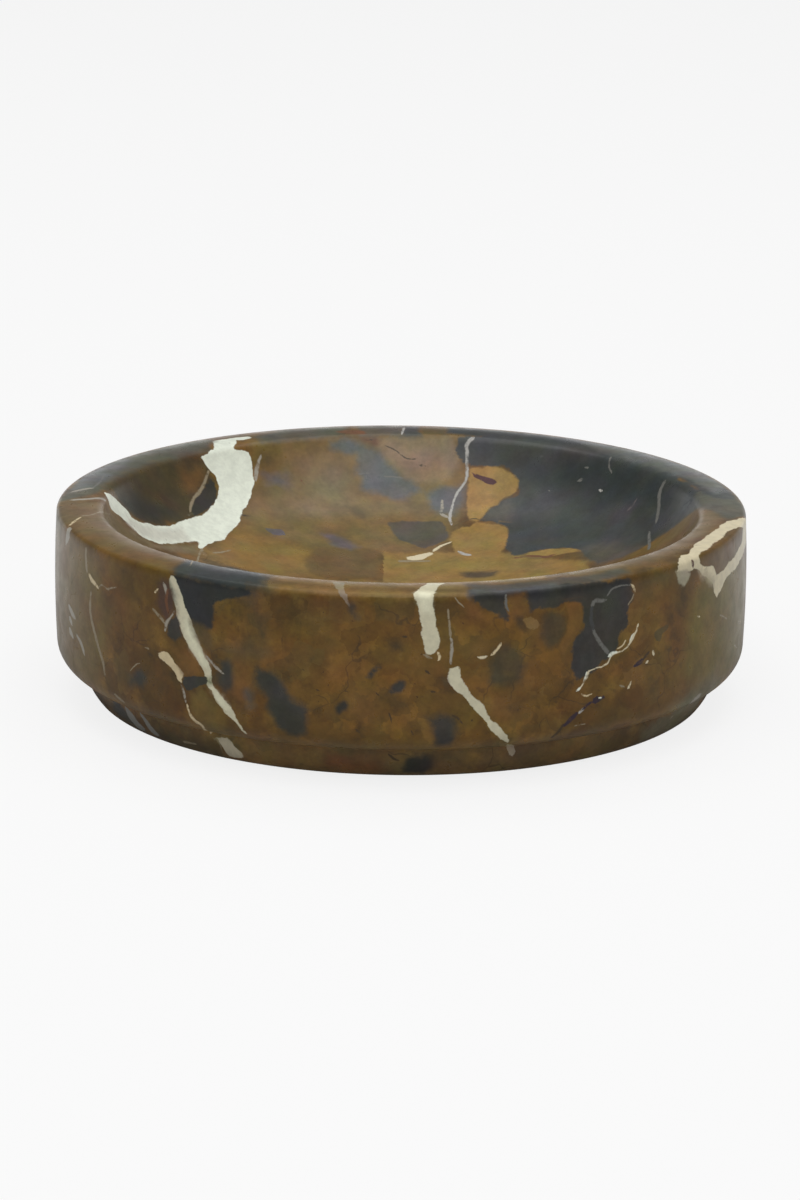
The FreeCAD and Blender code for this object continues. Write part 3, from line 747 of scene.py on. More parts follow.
RIGHT_WALL_VEINS = [
    (STEEL, [(606, 600, 3), (602, 601, 4), (595, 601, 4), (592, 606, 3)]),
    (SLATE, [(592, 607, 3), (591, 618, 3), (593, 629, 3)]),
    (STEEL, [(593, 630, 3), (596, 636, 3.5), (601, 644, 4), (608, 653, 4)]),
    (STEEL, [(607, 596, 1.5), (612, 589, 1.5), (619, 586, 1.5), (626, 585, 1.5), (631, 585, 1.5)]),
    (CREAM, [(631, 584, 1.5), (634, 588, 2), (635, 592, 1.5)]),
    (PALE, [(634, 594, 1.2), (632, 599, 1.2), (628, 605, 1)]),
    (IVORY, [(638, 624, 1.4), (637, 630, 1.4), (634, 635, 1.8), (631, 641, 2), (627, 647, 1.4),
        (622, 651, 1.4), (616, 653, 2), (611, 656, 2), (609, 661, 1.4), (605, 665, 1.4), (598, 668, 1.2),
        (592, 670, 1.2), (588, 672, 1.4), (587, 677, 1.8), (583, 684, 1.6), (579, 690, 1.4)]),
    (WHITE, [(634, 634, 2), (632, 638, 3), (630, 642, 2)]),
    (WHITE, [(617, 652, 2), (613, 653, 3.5), (609, 656, 3)]),
    (CREAM, [(626, 640, 1.2), (622, 646, 1.5), (617, 649, 1.2)]),
    (WHITE, [(587, 672, 1.5), (586, 677, 2.5), (584, 681, 2)]),
    (WHITE, [(580, 688, 2), (577, 691, 2)]),
    (CREAM, [(581, 694, 1.2), (586, 696, 1.8), (592, 694, 1.2)]),
    (WHITE, [(599, 698, 1.8), (602, 698, 1.8)]),
    (PLUM, [(592, 702, 2), (587, 705, 2.5), (583, 709, 2.5)]),
    (PEARL, [(584, 708, 1.8), (581, 711, 2.4), (579, 713, 1.8)]),
    (PLUM, [(577, 713, 2.5), (573, 717, 4), (568, 722, 3.5), (564, 726, 2.5)]),
    (UMBER, [(563, 725, 2.5), (560, 730, 2.5), (551, 738, 1.2)]),
    (PLUM, [(643, 660, 3), (639, 663, 4), (634, 666, 2.5)]),
    (IVORY, [(653, 650, 2), (654, 655, 2)]),
    (IVORY, [(648, 661, 2), (646, 663, 2)]),
    (UMBER, [(643, 659, 2), (646, 656, 2.5), (649, 652, 1.5)]),
    (PALE, [(619, 685, 1.8), (624, 687, 2)]),
    (IVORY, [(631, 682, 2), (628, 688, 2)]),
    (PALE, [(574, 726, 1.2), (585, 724, 1.2)]),
    (IVORY, [(697, 616, 1.5), (700, 617, 1.8)]),
    (PALE, [(720, 615, 1.5), (727, 619, 1.5)]),
    (PALE, [(734, 645, 1.2), (737, 648, 1.2)]),
]
LOOP_VEINS = [
    (MAROON, [(692, 561, 2.5), (693, 564, 2.5), (693, 567, 2)]),
]
FOOT_VEINS = [
    (PEWTER, [(126, 708, 2.5), (132, 718, 5), (138, 725, 5), (144, 729, 3)]),
    (PEWTER, [(140, 713, 1.5), (147, 723, 3), (153, 731, 3.5), (158, 735, 2.5)]),
    (PALE, [(184, 742, 2), (196, 744, 1.5)]),
    (PALE, [(115, 695, 2), (124, 702, 1.5)]),
    (ASH, [(692, 702, 3), (699, 696, 3)]),
    (PALE, [(670, 718, 2), (673, 716, 1.5)]),
]
BOWL_VEINS = [
    (PEARL, [(473, 438, 3.5), (467, 444, 4), (467, 452, 3.2), (467, 466, 3), (466, 480, 2.6),
        (456, 495, 2.2), (451, 511, 2.2), (450, 518, 3), (452, 526, 1.4)]),
    (RUST, [(300, 479, 1.8), (304, 484, 1.8)]),
    (UMBER, [(243, 515, 2.5), (250, 516, 2)]),
    (UMBER, [(420, 465, 3), (425, 466, 2)]),
    (RUST, [(514, 558, 1.5), (530, 556, 2), (545, 557, 2), (556, 554, 1.5)]),
    (STEEL, [(357, 474, 1.2), (370, 473, 1)]),
    (STEEL, [(383, 476, 1.2), (396, 477, 1.5), (403, 478, 1)]),
    (IVORY, [(451, 542, 1.4), (441, 546, 1.8), (433, 551, 2.2)]),
    (IVORY, [(431, 553, 3.5), (424, 556, 5), (415, 558, 5), (406, 558, 2)]),
    (ASH, [(442, 500, 2.5), (442, 508, 3), (441, 512, 2.5)]),
    (ASH, [(441, 514, 3), (447, 517, 3)]),
    (PEARL, [(458, 551, 1.5), (464, 554, 2.5), (470, 555, 2)]),
    (OLIVE, [(452, 527, 1), (470, 519, 1.2), (482, 520, 1)]),
    (PALE, [(400, 561, 2), (430, 561, 1)]),
    (ASH, [(261, 455, 2), (258, 464, 3), (256, 473, 4), (256, 481, 2.5)]),
    (PALE, [(209, 471, 2.5), (206, 478, 3), (204, 484, 3), (200, 491, 3.5), (194, 498, 3), (191, 505, 3),
        (190, 512, 2)]),
    (STEEL, [(665, 481, 2), (660, 491, 3), (659, 501, 3), (658, 513, 3), (656, 523, 1.8)]),
    (STEEL, [(649, 532, 3), (649, 549, 3)]),
    (STEEL, [(611, 457, 1.5), (609, 466, 1.5), (612, 474, 1.5)]),
    (PEARL, [(599, 490, 2), (602, 491, 2.5)]),
    (STEEL, [(578, 481, 2), (582, 479, 2.5)]),
    (STEEL, [(585, 467, 1.5), (588, 468, 2)]),
    (STEEL, [(540, 456, 2), (543, 456, 2.5)]),
    (STEEL, [(548, 490, 1.8), (550, 491, 1.8)]),
    (LILAC, [(637, 498, 1), (633, 505, 1.2), (627, 511, 1)]),
    (PALE, [(213, 553, 1.2), (222, 552, 1.5), (231, 550, 1)]),
    (PALE, [(190, 566, 1.2), (198, 559, 2), (204, 553, 1.5)]),
    (UMBER, [(384, 445, 1.4), (395, 450, 1.2), (406, 458, 1.2), (417, 459, 1)]),
    (TAN, [(521, 556, 1.5), (532, 558, 2), (541, 558, 1.5)]),
    (PEARL, [(404, 428, 3), (402, 434, 2)]),
    (UMBER, [(365, 440, 1.2), (373, 440, 1.5)]),
]
VEINS = (LEFT_WALL_VEINS + LEFT_RIM_VEINS + MIDDLE_WALL_VEINS + RIGHT_WALL_VEINS + LOOP_VEINS +
         FOOT_VEINS + BOWL_VEINS)

# Chart of the stone's surface
# A flat map: distance along the profile from the middle of the bowl, laid out at the angle about the axis
MM = 0.001
LINE_SPACING = 0.3 * MM
# Least length that counts
LEAST = 1e-9


def profile_length(points):
    """How far along the profile each point of the surface lies."""
    flat = np.column_stack([np.hypot(points[:, 0], points[:, 1]), points[:, 2]])
    best = np.full(len(flat), np.inf)
    length = np.zeros(len(flat))
    for start, end, before in zip(PROFILE, PROFILE[1:], ALONG):
        run = end - start
        share = np.clip((flat - start) @ run / (run @ run), 0, 1)
        gap = np.hypot(*(flat - start - share[:, None] * run).T)
        nearer = gap < best
        best[nearer] = gap[nearer]
        length[nearer] = before + share[nearer] * np.hypot(*run)
    return length


def to_chart(points):
    angle = np.arctan2(points[:, 1], points[:, 0])
    return profile_length(points)[:, None] * np.column_stack([np.cos(angle), np.sin(angle)])


def from_chart(flat):
    length = np.maximum(np.hypot(*flat.T), LEAST)
    radius = np.interp(length, ALONG, PROFILE[:, 0])
    height = np.interp(length, ALONG, PROFILE[:, 1])
    return np.column_stack([flat * (radius / length)[:, None], height])


def smooth_line(knots):
    """Closely spaced points of a Catmull-Rom curve through the knots; further columns are blended too."""
    padded = np.vstack([2 * knots[0] - knots[1], knots, 2 * knots[-1] - knots[-2]])
    found = []
    for before, start, end, after in zip(padded, padded[1:], padded[2:], padded[3:]):
        steps = max(1, math.ceil(np.hypot(*(end - start)[:2]) / LINE_SPACING))
        for share in np.arange(steps) / steps:
            straight = 2 * start + (end - before) * share
            bend = (2 * before - 5 * start + 4 * end - after) * share ** 2
            twist = (3 * start - before - 3 * end + after) * share ** 3
            found.append((straight + bend + twist) / 2)
    return np.array(found + [knots[-1]])


# From the photograph's pixels to the stone
# How many pixels off the stone an outline may stray
OUTLINE_SLACK = 30
MIDDLE_PIXEL = Vector((FRAME_WIDE / 2, FRAME_HIGH / 2))
# Most that one pixel of a vein's width stands for on a surface seen at a low angle
WIDEST_PIXEL = 0.45 * MM
caster = BVHTree.FromObject(stone, bpy.context.evaluated_depsgraph_get())


def on_stone(x, y):
    """What the photograph's camera sees at a pixel; a pixel just off the stone is moved in to its outline."""
    pixel = Vector((x, y))
    inwards = (MIDDLE_PIXEL - pixel).normalized()
    for _ in range(OUTLINE_SLACK):
        sight = FORWARD * FOCAL_PIXELS + RIGHT * (pixel.x - AXIS_PIXEL[0]) - UP * (pixel.y - AXIS_PIXEL[1])
        place = caster.ray_cast(EYE, sight.normalized())[0]
        if place:
            return np.array(place)
        pixel += inwards
    raise ValueError(f"no stone near pixel {x}, {y}")


def patch_line(outline):
    """A patch's outline in the chart."""
    return to_chart(np.array([on_stone(x, y) for x, y in outline]))


def vein_line(trace):
    """A vein's middle line in the chart, with its half width on the stone as third column."""
    pixels = np.array([step[:2] for step in trace], float)
    points = np.array([on_stone(x, y) for x, y in pixels])
    heading = np.gradient(pixels, axis=0)
    heading /= np.hypot(*heading.T)[:, None]
    course = np.gradient(points, axis=0)
    half_widths = []
    for (x, y, width), (east, south), along in zip(trace, heading, course):
        one = on_stone(x - south * width / 2, y + east * width / 2)
        two = on_stone(x + south * width / 2, y - east * width / 2)
        along = along / np.linalg.norm(along)
        across = (two - one) - along * ((two - one) @ along)
        half_widths.append(min(np.linalg.norm(across), width * WIDEST_PIXEL) / 2)
    return smooth_line(np.column_stack([to_chart(points), half_widths]))


# Depths in patches and places across veins
# How far outside a patch and a vein the stone is still measured, and how much the chart stretches lengths
PATCH_REACH = 3 * MM
VEIN_REACH = 1.2 * MM
CHART_STRETCH = 1.7
# Half width from which a vein needs no sides to its middle
THICK = 0.8 * MM
stone_chart = to_chart(stone_points)


def near_line(line, reach):
    """Which of the stone's points may lie within reach of a line in the chart."""
    margin = reach * CHART_STRETCH
    low, high = line[:, :2].min(0) - margin, line[:, :2].max(0) + margin
    return np.flatnonzero(np.all((stone_chart > low) & (stone_chart < high), axis=1))


def patch_field(line):
    """The stone's points near a patch, and how far inside its edge each lies."""
    near = near_line(line, PATCH_REACH)
    flat, points = stone_chart[near], stone_points[near]
    track = from_chart(line)
    gap = np.full(len(near), np.inf)
    inside = np.zeros(len(near), bool)
    for place in range(len(line)):
        start, end = track[place - 1], track[place]
        run = end - start
        share = np.clip((points - start) @ run / max(run @ run, LEAST ** 2), 0, 1)
        gap = np.minimum(gap, np.linalg.norm(points - start - share[:, None] * run, axis=1))
        low, high = line[place - 1], line[place]
        if low[1] != high[1]:
            crossing = low[0] + (flat[:, 1] - low[1]) / (high[1] - low[1]) * (high[0] - low[0])
            inside ^= ((low[1] > flat[:, 1]) != (high[1] > flat[:, 1])) & (flat[:, 0] < crossing)
    depth = np.where(inside, gap, -gap)
    kept = depth > -PATCH_REACH
    return near[kept], depth[kept]


def vein_field(line):
    """The stone's points near a vein, how far aside of its middle each lies, and its half width there."""
    widest = line[:, 2].max() + VEIN_REACH
    near = near_line(line, widest)
    flat, points = stone_chart[near], stone_points[near]
    track, half = from_chart(line[:, :2]), line[:, 2]
    thin = half.max() < THICK
    gap = np.full(len(near), np.inf)
    aside = np.zeros(len(near))
    width = np.zeros(len(near))
    for place in range(1, len(line)):
        start, run = track[place - 1], track[place] - track[place - 1]
        length = max(np.linalg.norm(run), LEAST)
        share = (points - start) @ run / length ** 2
        held = np.clip(share, 0, 1)
        offset = points - start - held[:, None] * run
        away = np.linalg.norm(offset, axis=1)
        flat_run, flat_offset = line[place, :2] - line[place - 1, :2], flat - line[place - 1, :2]
        side = np.sign(flat_run[0] * flat_offset[:, 1] - flat_run[1] * flat_offset[:, 0]) if thin else 1
        past = np.zeros(len(near))
        if place == 1:
            past += np.maximum(-share, 0) * length
        if place == len(line) - 1:
            past += np.maximum(share - 1, 0) * length
        nearer = away < gap - LEAST
        gap[nearer] = away[nearer]
        signed = side * np.sqrt(np.maximum(away ** 2 - past ** 2, 0))
        aside[nearer] = signed[nearer]
        blended = half[place - 1] + (half[place] - half[place - 1]) * held - past
        width[nearer] = blended[nearer]
    kept = gap < np.maximum(width, 0) + VEIN_REACH
    return near[kept], aside[kept], width[kept]


# Layers of patches and veins
# Depth and half width that stand for no patch and no vein
NO_PATCH = -5 * MM
NO_VEIN = -3 * MM
# Patches that come this close to each other lie in different layers
PATCH_GAP = 0.3 * MM
# Softness of a vein's edge as a share of its half width, with limits
VEIN_BLUR = 0.6
THINNEST_BLUR, WIDEST_BLUR = 0.05 * MM, 0.14 * MM
# How widely the seen side fades into the unseen one, and how early the fade ends
FADE_ROUNDS = 120
FADE_GAIN = 2.2
# How far above the surface its view of the camera is tested
RISE = 0.3 * MM
RINGS = len(PROFILE) - 2


def carry(name, values):
    """Gives the stone's points a value of three numbers."""
    layer = stone.data.attributes.new(name, "FLOAT_VECTOR", "POINT")
    layer.data.foreach_set("vector", np.ascontiguousarray(values, np.float32).ravel())


def with_neighbours(chosen):
    """The chosen points of the stone and those next to them on its rings."""
    grid = chosen[:RINGS * STEPS_ROUND].reshape(RINGS, STEPS_ROUND)
    grid = grid | np.roll(grid, 1, axis=1) | np.roll(grid, -1, axis=1)
    wider = grid.copy()
    wider[1:] |= grid[:-1]
    wider[:-1] |= grid[1:]
    return np.append(wider.ravel(), chosen[RINGS * STEPS_ROUND:])


def blank(columns):
    """The same row of values for each of the stone's points."""
    return np.tile(np.array(columns, float), (len(stone_points), 1))


def spread_patches():
    """Lays patches into as few layers as keep the later of two that meet on top, and counts the layers."""
    layers = []
    for colour, (blur, ragged), outline in PATCHES:
        near, depth = patch_field(patch_line(outline))
        level = 0
        for number, (fields, _) in enumerate(layers):
            if np.any((fields[near, 0] > -PATCH_GAP) & (depth > -PATCH_GAP)):
                level = number + 1
        if level == len(layers):
            layers.append((blank([NO_PATCH, blur, ragged]), blank(colour)))
        fields, colours = layers[level]
        better = depth > fields[near, 0]
        near, depth = near[better], depth[better]
        fields[near, 0], fields[near, 1], fields[near, 2] = depth, blur, ragged
        colours[near] = colour
    for number, (fields, colours) in enumerate(layers):
        carry(f"patch_{number}", fields / MM)
        carry(f"patch_colour_{number}", colours)
    return len(layers)


def spread_veins():
    """Lays the veins into as few layers as keep them off each other, and counts the layers."""
    layers = []
    for colour, trace in VEINS:
        near, aside, width = vein_field(vein_line(trace))
        for fields, colours, taken in layers:
            if not taken[near].any():
                break
        else:
            fields, colours = blank([0, NO_VEIN, THINNEST_BLUR]), blank(colour)
            taken = np.zeros(len(stone_points), bool)
            layers.append((fields, colours, taken))
        own = np.zeros(len(stone_points), bool)
        own[near] = True
        taken |= with_neighbours(own)
        fields[near, 0], fields[near, 1] = aside, width
        fields[near, 2] = np.clip(width * VEIN_BLUR, THINNEST_BLUR, WIDEST_BLUR)
        colours[near] = colour
    for number, (fields, colours, _) in enumerate(layers):
        carry(f"vein_{number}", fields / MM)
        carry(f"vein_colour_{number}", colours)
    return len(layers)


def spread_hidden():
    """Marks what the photograph doesn't show: 0 where it is seen and just past that, rising smoothly to 1."""
    normals = np.empty(len(stone_points) * 3)
    stone.data.vertex_normals.foreach_get("vector", normals)
    normals = normals.reshape(-1, 3)
    sight = np.array(EYE) - stone_points
    sight /= np.linalg.norm(sight, axis=1)[:, None]
    facing = np.sum(sight * normals, axis=1) > 0
    seen = np.zeros(len(stone_points))
    for number in np.flatnonzero(facing):
        start = Vector(stone_points[number] + normals[number] * RISE)
        seen[number] = caster.ray_cast(start, Vector(sight[number]))[0] is None
    grid = seen[:RINGS * STEPS_ROUND].reshape(RINGS, STEPS_ROUND)
    for _ in range(FADE_ROUNDS):
        round_about = (np.roll(grid, 1, axis=1) + grid + np.roll(grid, -1, axis=1)) / 3
        above = np.vstack([round_about[:1], round_about[:-1]])
        below = np.vstack([round_about[1:], round_about[-1:]])
        grid = (above + round_about + below) / 3
    faded = 1 - np.clip(grid.ravel() * FADE_GAIN, 0, 1)
    hidden = np.append(faded * (1 - seen[:RINGS * STEPS_ROUND]), [1, 1])
    carry("hidden", np.repeat(hidden[:, None], 3, axis=1))


patch_layers = spread_patches()
vein_layers = spread_veins()
spread_hidden()

# Materials
# Colours of the ground between the patches, as linear reflectances
GROUND_DARK = (0.102, 0.050, 0.0090)
GROUND_LIGHT = (0.162, 0.083, 0.0142)
GROUND_GOLD = (0.208, 0.113, 0.020)
GROUND_BROWN = (0.074, 0.041, 0.0105)
GROUND_OLIVE = (0.135, 0.092, 0.026)
FLECK = (0.046, 0.026, 0.010)
CRACK = (0.040, 0.028, 0.014)
# Between which values most of a noise lies
NOISE_SPAN = (0.3, 0.7)
# How far unseen a place is where the invented figure takes over
TAKEOVER = (0.45, 0.53)
# Heights in mm of the step, the crest, the painted-light band's top and the foot's deepest painted shade
STEP_MM, CREST_MM = STEP_Z / MM, CREST_Z / MM
EDGE_PAINTED_LIGHT_MM = STEP_MM + 3.4
FOOT_PAINTED_SHADE_MM = STEP_MM - 0.6 * FOOT_HEIGHT / MM
# Painted light round the lower edge, its gains at the left and right ends, the foot's painted light and shade
EDGE_PAINTED_LIGHT, LEFT_PAINTED_LIGHT, RIGHT_PAINTED_LIGHT = 1.3, 0.45, 1.0
FOOT_PAINTED_LIGHT, FOOT_PAINTED_SHADE = 1.45, 0.92
# X in mm where the band's painted light gains at its left and right ends, and where painted sheen greys it
LEFT_X, RIGHT_X, PAINTED_SHEEN_X = (-38, -48), (27, 43), (40, 28)
# Painted sheen's share, half the height over which band and foot merge, and the crease's painted light
PAINTED_SHEEN = 0.35
MERGE_MM = 0.15
SEAM_MM, SEAM_PAINTED_LIGHT = 0.45, 1.5
# How strongly the stone mirrors, and how strongly where hands have dulled it
POLISH, POLISH_WORN = 0.33, 0.17
# Heights and Y in mm between which the one turns into the other
WORN_HEIGHTS, WORN_Y = (CREST_MM - 2, CREST_MM - 0.9), (28, 5)
# Roughness from one end of the mottling or grain to the other, and what a crack adds
MARBLE_ROUGH, CRACK_ROUGH = (0.36, 0.27), 0.2
RUBBER_ROUGH = (0.68, 0.9)
RUBBER_DARK = (0.018, 0.018, 0.019)
RUBBER_LIGHT = (0.034, 0.033, 0.032)
# Steps by which one noise is moved from the next, so that no two are alike
SEED_STEPS = (71.3, 37.7, 53.1)


def noise(tree, place, size, detail=2, roughness=0.5, seed=0):
    """Noise with features of a size in millimetres, between 0 and 1 about a middle of 0.5."""
    moved = vector_maths(tree, "ADD", place, tuple(seed * step for step in SEED_STEPS))
    made = add_node(tree, "TexNoise", {"Vector": moved, "Scale": 1 / size, "Detail": detail,
                                       "Roughness": roughness})
    return made.outputs[0]


def drift(tree, place, size, detail=3):
    """Three noises at once, as a vector."""
    return add_node(tree, "TexNoise", {"Vector": place, "Scale": 1 / size, "Detail": detail}).outputs["Color"]


def about_middle(tree, value, reach):
    """Noise taken about 0 and stretched."""
    return maths(tree, "MULTIPLY", maths(tree, "SUBTRACT", value, 0.5), reach)


def bent_cells(tree, place, size, bend, reach, feature, detail=3):
    """Cells of a size in mm, whose borders are bent as far as reach says by noise of the size of bend."""
    shift = scale(tree, drift(tree, place, bend, detail), reach)
    bent = vector_maths(tree, "ADD", place, shift)
    return add_node(tree, "TexVoronoi", {"Vector": bent, "Scale": 1 / size}, feature=feature).outputs


def carried(tree, name):
    return add_node(tree, "Attribute", {}, attribute_name=name, attribute_type="GEOMETRY").outputs["Vector"]


def place_in_mm(tree):
    return scale(tree, add_node(tree, "TexCoord", {}).outputs["Object"], 1 / MM)


def new_material(name):
    """A material with its tree of nodes, its shader and the place on the piece in millimetres."""
    material = bpy.data.materials.new(name)
    material.use_nodes = True
    tree = material.node_tree
    return material, tree, tree.nodes["Principled BSDF"], place_in_mm(tree)


def plug(tree, shader, sources):
    """Links each source to the shader's input of its name."""
    for name, source in sources.items():
        tree.links.new(source, shader.inputs[name])


def ground_colour(tree, place):
    """Brown stone between the patches: broad clouds, mottling, dark flecks and clasts of other tones."""
    broad = noise(tree, place, 20, 3, seed=1)
    cloud = noise(tree, place, 5.5, 4, 0.6, seed=2)
    spots = noise(tree, place, 2.2, 3, 0.6, seed=3)
    colour = blend(tree, ramp(tree, broad, 0.38, 0.62), GROUND_DARK, GROUND_LIGHT)
    colour = blend(tree, ramp(tree, cloud, 0.5, 0.7, 0, 0.75), colour, GROUND_GOLD)
    colour = blend(tree, ramp(tree, cloud, 0.46, 0.3, 0, 0.7), colour, GROUND_BROWN)
    colour = blend(tree, ramp(tree, spots, 0.6, 0.72, 0, 0.5), colour, GROUND_BROWN)
    flecks = ramp(tree, noise(tree, place, 0.9, 3, 0.6, seed=13), 0.68, 0.74, 0, 0.75)
    colour = blend(tree, flecks, colour, FLECK)
    clasts = bent_cells(tree, place, 4.5, 4, 7, "F1", detail=4)["Color"]
    tone, hue, _ = parts(tree, clasts)
    colour = blend(tree, ramp(tree, hue, 0.5, 1, 0, 0.28), colour, GROUND_OLIVE)
    # The clasts' tone times the painted light and shade round the lower edge and the foot
    shade = maths(tree, "MULTIPLY", ramp(tree, tone, 0, 1, 0.86, 1.14), painted_lower_light(tree, place))
    # Greyed towards DUN by painted sheen round the lower edge and the foot
    return blend(tree, painted_sheen_share(tree, place), scale(tree, colour, shade), DUN)


def painted_sheen_share(tree, place):
    """Painted sheen greying the brown, only round the lower edge and the foot, less towards the sides."""
    across, _, height = parts(tree, place)
    middle = ramp(tree, maths(tree, "ABSOLUTE", across), *PAINTED_SHEEN_X, 0, PAINTED_SHEEN)
    return maths(tree, "MULTIPLY", middle, ramp(tree, height, EDGE_PAINTED_LIGHT_MM, STEP_MM))


def painted_lower_light(tree, place):
    """Painted light and shade: paler round the lower edge, more so at the sides, and darker down the foot."""
    across, _, height = parts(tree, place)
    right = ramp(tree, across, *RIGHT_X, EDGE_PAINTED_LIGHT, EDGE_PAINTED_LIGHT + RIGHT_PAINTED_LIGHT)
    sides = maths(tree, "ADD", right, ramp(tree, across, *LEFT_X, 0, LEFT_PAINTED_LIGHT))
    edge = blend_value(tree, ramp(tree, height, EDGE_PAINTED_LIGHT_MM, STEP_MM), 1, sides)
    foot = ramp(tree, height, STEP_MM, FOOT_PAINTED_SHADE_MM, FOOT_PAINTED_LIGHT, FOOT_PAINTED_SHADE)
    on_foot = ramp(tree, height, STEP_MM + MERGE_MM, STEP_MM - MERGE_MM)
    # Painted light on the crease between band and foot, against the shade there
    crease_painted_light = maths(tree, "ABSOLUTE", maths(tree, "SUBTRACT", height, STEP_MM))
    crease_painted_light = ramp(tree, crease_painted_light, SEAM_MM, 0, 1, SEAM_PAINTED_LIGHT)
    return maths(tree, "MULTIPLY", blend_value(tree, on_foot, edge, foot), crease_painted_light)


def crack_share(tree, place):
    """Hairline cracks, which come and go along their lengths."""
    cells = bent_cells(tree, place, 9, 7, 8, "DISTANCE_TO_EDGE")
    line = ramp(tree, cells[0], 0.016, 0.004)
    return maths(tree, "MULTIPLY", line, ramp(tree, noise(tree, place, 9, 2, seed=4), 0.5, 0.6, 0, 0.45))


def unseen_share(tree, place):
    """How far the figure of the unseen sides takes over from the photograph's, with an uneven border."""
    hidden = parts(tree, carried(tree, "hidden"))[0]
    sway = about_middle(tree, noise(tree, place, 10, 4, 0.6, seed=8), 2)
    over = ramp(tree, maths(tree, "ADD", hidden, sway), *TAKEOVER)
    return maths(tree, "MULTIPLY", over, ramp(tree, hidden, 0, 0.08))


def lay_patches(tree, place, colour, shown):
    """Paints the photograph's patches, whose edges wander as far as each is ragged."""
    wander = about_middle(tree, noise(tree, place, 3.2, 6, 0.66, seed=5), 4)
    for number in range(patch_layers):
        depth, blur, ragged = parts(tree, carried(tree, f"patch_{number}"))
        depth = maths(tree, "ADD", depth, maths(tree, "MULTIPLY", wander, ragged))
        share = maths(tree, "MULTIPLY", ramp(tree, depth, maths(tree, "MULTIPLY", blur, -1), blur), shown)
        colour = blend(tree, share, colour, carried(tree, f"patch_colour_{number}"))
    return colour


def lay_veins(tree, place, colour, shown):
    """Paints the photograph's veins, which sway and swell a little, and break off where they are thin."""
    sway = about_middle(tree, noise(tree, place, 0.9, 4, 0.6, seed=6), 0.42)
    swell = ramp(tree, noise(tree, place, 2.4, 2, seed=7), *NOISE_SPAN, 0.84, 1.14)
    broken = ramp(tree, noise(tree, place, 0.8, 3, 0.6, seed=14), 0.36, 0.5, 0.15, 1)
    covered = 0
    for number in range(vein_layers):
        aside, half, blur = parts(tree, carried(tree, f"vein_{number}"))
        aside = maths(tree, "ABSOLUTE", maths(tree, "ADD", aside, sway))
        depth = maths(tree, "SUBTRACT", maths(tree, "MULTIPLY", half, swell), aside)
        share = ramp(tree, depth, maths(tree, "MULTIPLY", blur, -1), blur)
        share = maths(tree, "MULTIPLY", share, blend_value(tree, ramp(tree, half, 0.12, 0.5), broken, 1))
        share = maths(tree, "MULTIPLY", share, shown)
        colour = blend(tree, share, colour, carried(tree, f"vein_colour_{number}"))
        covered = maths(tree, "MAXIMUM", covered, share)
    return colour, covered


# Sheets of veining that cut through the unseen sides: direction, place in mm, half width in mm, colour
SHEETS = [
    ((0.93, 0.31, 0.20), 22, 0.45, IVORY), ((-0.62, 0.75, -0.22), 9, 0.16, PALE),
    ((0.30, 0.86, 0.41), 34, 0.30, CREAM), ((-0.88, 0.42, 0.21), 40, 0.60, WHITE),
    ((0.55, -0.80, 0.24), -31, 0.18, ASH), ((0.97, -0.10, -0.22), -24, 0.30, IVORY),
    ((0.12, 0.97, -0.20), -22, 0.20, ASH), ((0.71, 0.66, -0.25), -4, 0.14, PALE),
]
# Sizes in mm of the noises that bend them
SHEET_BENDS = (15, 19, 24)


def lay_hidden(tree, place, colour, present):
    """Grey and golden patches and veins of the sides that the photograph doesn't show."""
    patches = ramp(tree, noise(tree, place, 17, 5, 0.55, seed=9), 0.54, 0.57)
    colour = blend(tree, maths(tree, "MULTIPLY", patches, present), colour, SLATE)
    golds = ramp(tree, noise(tree, place, 14, 5, 0.55, seed=10), 0.58, 0.62)
    colour = blend(tree, maths(tree, "MULTIPLY", golds, present), colour, GOLD)
    swell = noise(tree, place, 5, 2, seed=12)
    bends = [axis for size in SHEET_BENDS for axis in parts(tree, drift(tree, place, size))]
    for bend, (direction, distance, half, tint) in zip(bends, SHEETS):
        bend = about_middle(tree, bend, 16)
        reach = add_node(tree, "VectorMath", {0: place, 1: direction}, operation="DOT_PRODUCT")
        off = maths(tree, "SUBTRACT", reach.outputs["Value"], distance)
        gap = maths(tree, "ABSOLUTE", maths(tree, "ADD", off, bend))
        width = maths(tree, "MULTIPLY", ramp(tree, swell, 0.36, 0.64, 0, 2), half)
        share = ramp(tree, maths(tree, "SUBTRACT", width, gap), -0.06, 0.08)
        colour = blend(tree, maths(tree, "MULTIPLY", share, present), colour, tint)
    return colour


# How far red, green and blue drift
HUE_REACHES = (0.08, 0.06, 0.14)


def drift_hue(tree, place, colour, pale):
    """Shifts red, green and blue a little apart from place to place, though not in pale stone."""
    shares = [ramp(tree, part, *NOISE_SPAN, 1 - reach, 1 + reach)
              for part, reach in zip(parts(tree, drift(tree, place, 5)), HUE_REACHES)]
    tint = add_node(tree, "CombineXYZ", dict(enumerate(shares))).outputs[0]
    return blend(tree, pale, vector_maths(tree, "MULTIPLY", colour, tint), colour)


def polish(tree, place):
    """How strongly the stone mirrors: less on the front of the rim, where hands have dulled it."""
    _, along, height = parts(tree, place)
    top = ramp(tree, height, *WORN_HEIGHTS)
    front = ramp(tree, along, *WORN_Y)
    return blend_value(tree, maths(tree, "MULTIPLY", top, front), POLISH, POLISH_WORN)


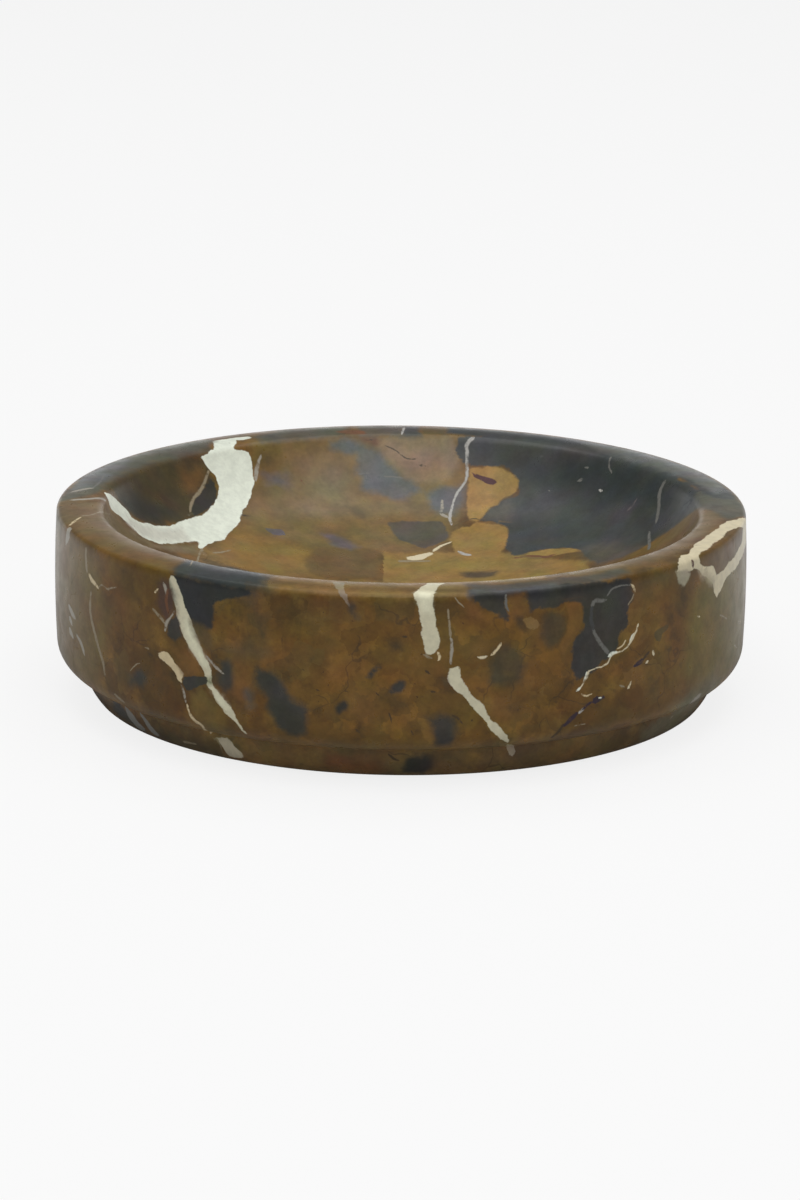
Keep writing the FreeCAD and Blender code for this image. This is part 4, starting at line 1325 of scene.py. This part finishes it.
def make_marble():
    material, tree, shader, place = new_material("veined_marble")
    unseen = unseen_share(tree, place)
    shown = maths(tree, "SUBTRACT", 1, unseen)
    cracks = crack_share(tree, place)
    colour = lay_hidden(tree, place, ground_colour(tree, place), unseen)
    colour = blend(tree, cracks, colour, CRACK)
    colour = lay_patches(tree, place, colour, shown)
    mottle = noise(tree, place, 3.4, 5, 0.65, seed=30)
    grain = noise(tree, place, 0.7, 3, 0.6, seed=31)
    chalk = noise(tree, place, 1.4, 4, 0.65, seed=32)
    pale = ramp(tree, add_node(tree, "RGBToBW", {0: colour}).outputs[0], 0.25, 0.55)
    mottled = maths(tree, "ADD", ramp(tree, mottle, *NOISE_SPAN, 0.84, 1.16),
                    ramp(tree, grain, *NOISE_SPAN, -0.06, 0.06))
    shade = blend_value(tree, pale, mottled, ramp(tree, chalk, *NOISE_SPAN, 0.9, 1.05))
    colour = drift_hue(tree, place, scale(tree, colour, shade), pale)
    colour, covered = lay_veins(tree, place, colour, shown)
    rough = maths(tree, "ADD", ramp(tree, mottle, *NOISE_SPAN, *MARBLE_ROUGH),
                  maths(tree, "MULTIPLY", cracks, CRACK_ROUGH))
    height = maths(tree, "SUBTRACT", maths(tree, "MULTIPLY", grain, 0.35), cracks)
    height = maths(tree, "ADD", height, maths(tree, "MULTIPLY", covered, 0.2))
    bump = add_node(tree, "Bump", {"Strength": 0.2, "Distance": 0.01 * MM, "Height": height})
    plug(tree, shader, {"Base Color": colour, "Roughness": rough, "Normal": bump.outputs[0],
                        "Specular IOR Level": polish(tree, place)})
    return material


def make_rubber():
    material, tree, shader, place = new_material("pad_rubber")
    blotch = noise(tree, place, 2.5, 3, seed=40)
    grain = noise(tree, place, 0.25, 2, seed=41)
    bump = add_node(tree, "Bump", {"Strength": 0.5, "Distance": 0.05 * MM, "Height": grain})
    plug(tree, shader, {"Base Color": blend(tree, ramp(tree, blotch, 0.35, 0.65), RUBBER_DARK, RUBBER_LIGHT),
                        "Roughness": ramp(tree, grain, *NOISE_SPAN, *RUBBER_ROUGH),
                        "Normal": bump.outputs[0]})
    return material


stone.data.materials.append(make_marble())
rubber = make_rubber()
for name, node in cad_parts.items():
    if name.startswith("non_slip_pad"):
        node.data.materials.clear()
        node.data.materials.append(rubber)

bpy.context.scene.view_settings.view_transform = "Standard"

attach(stone, "root")
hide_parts("stone_dish")
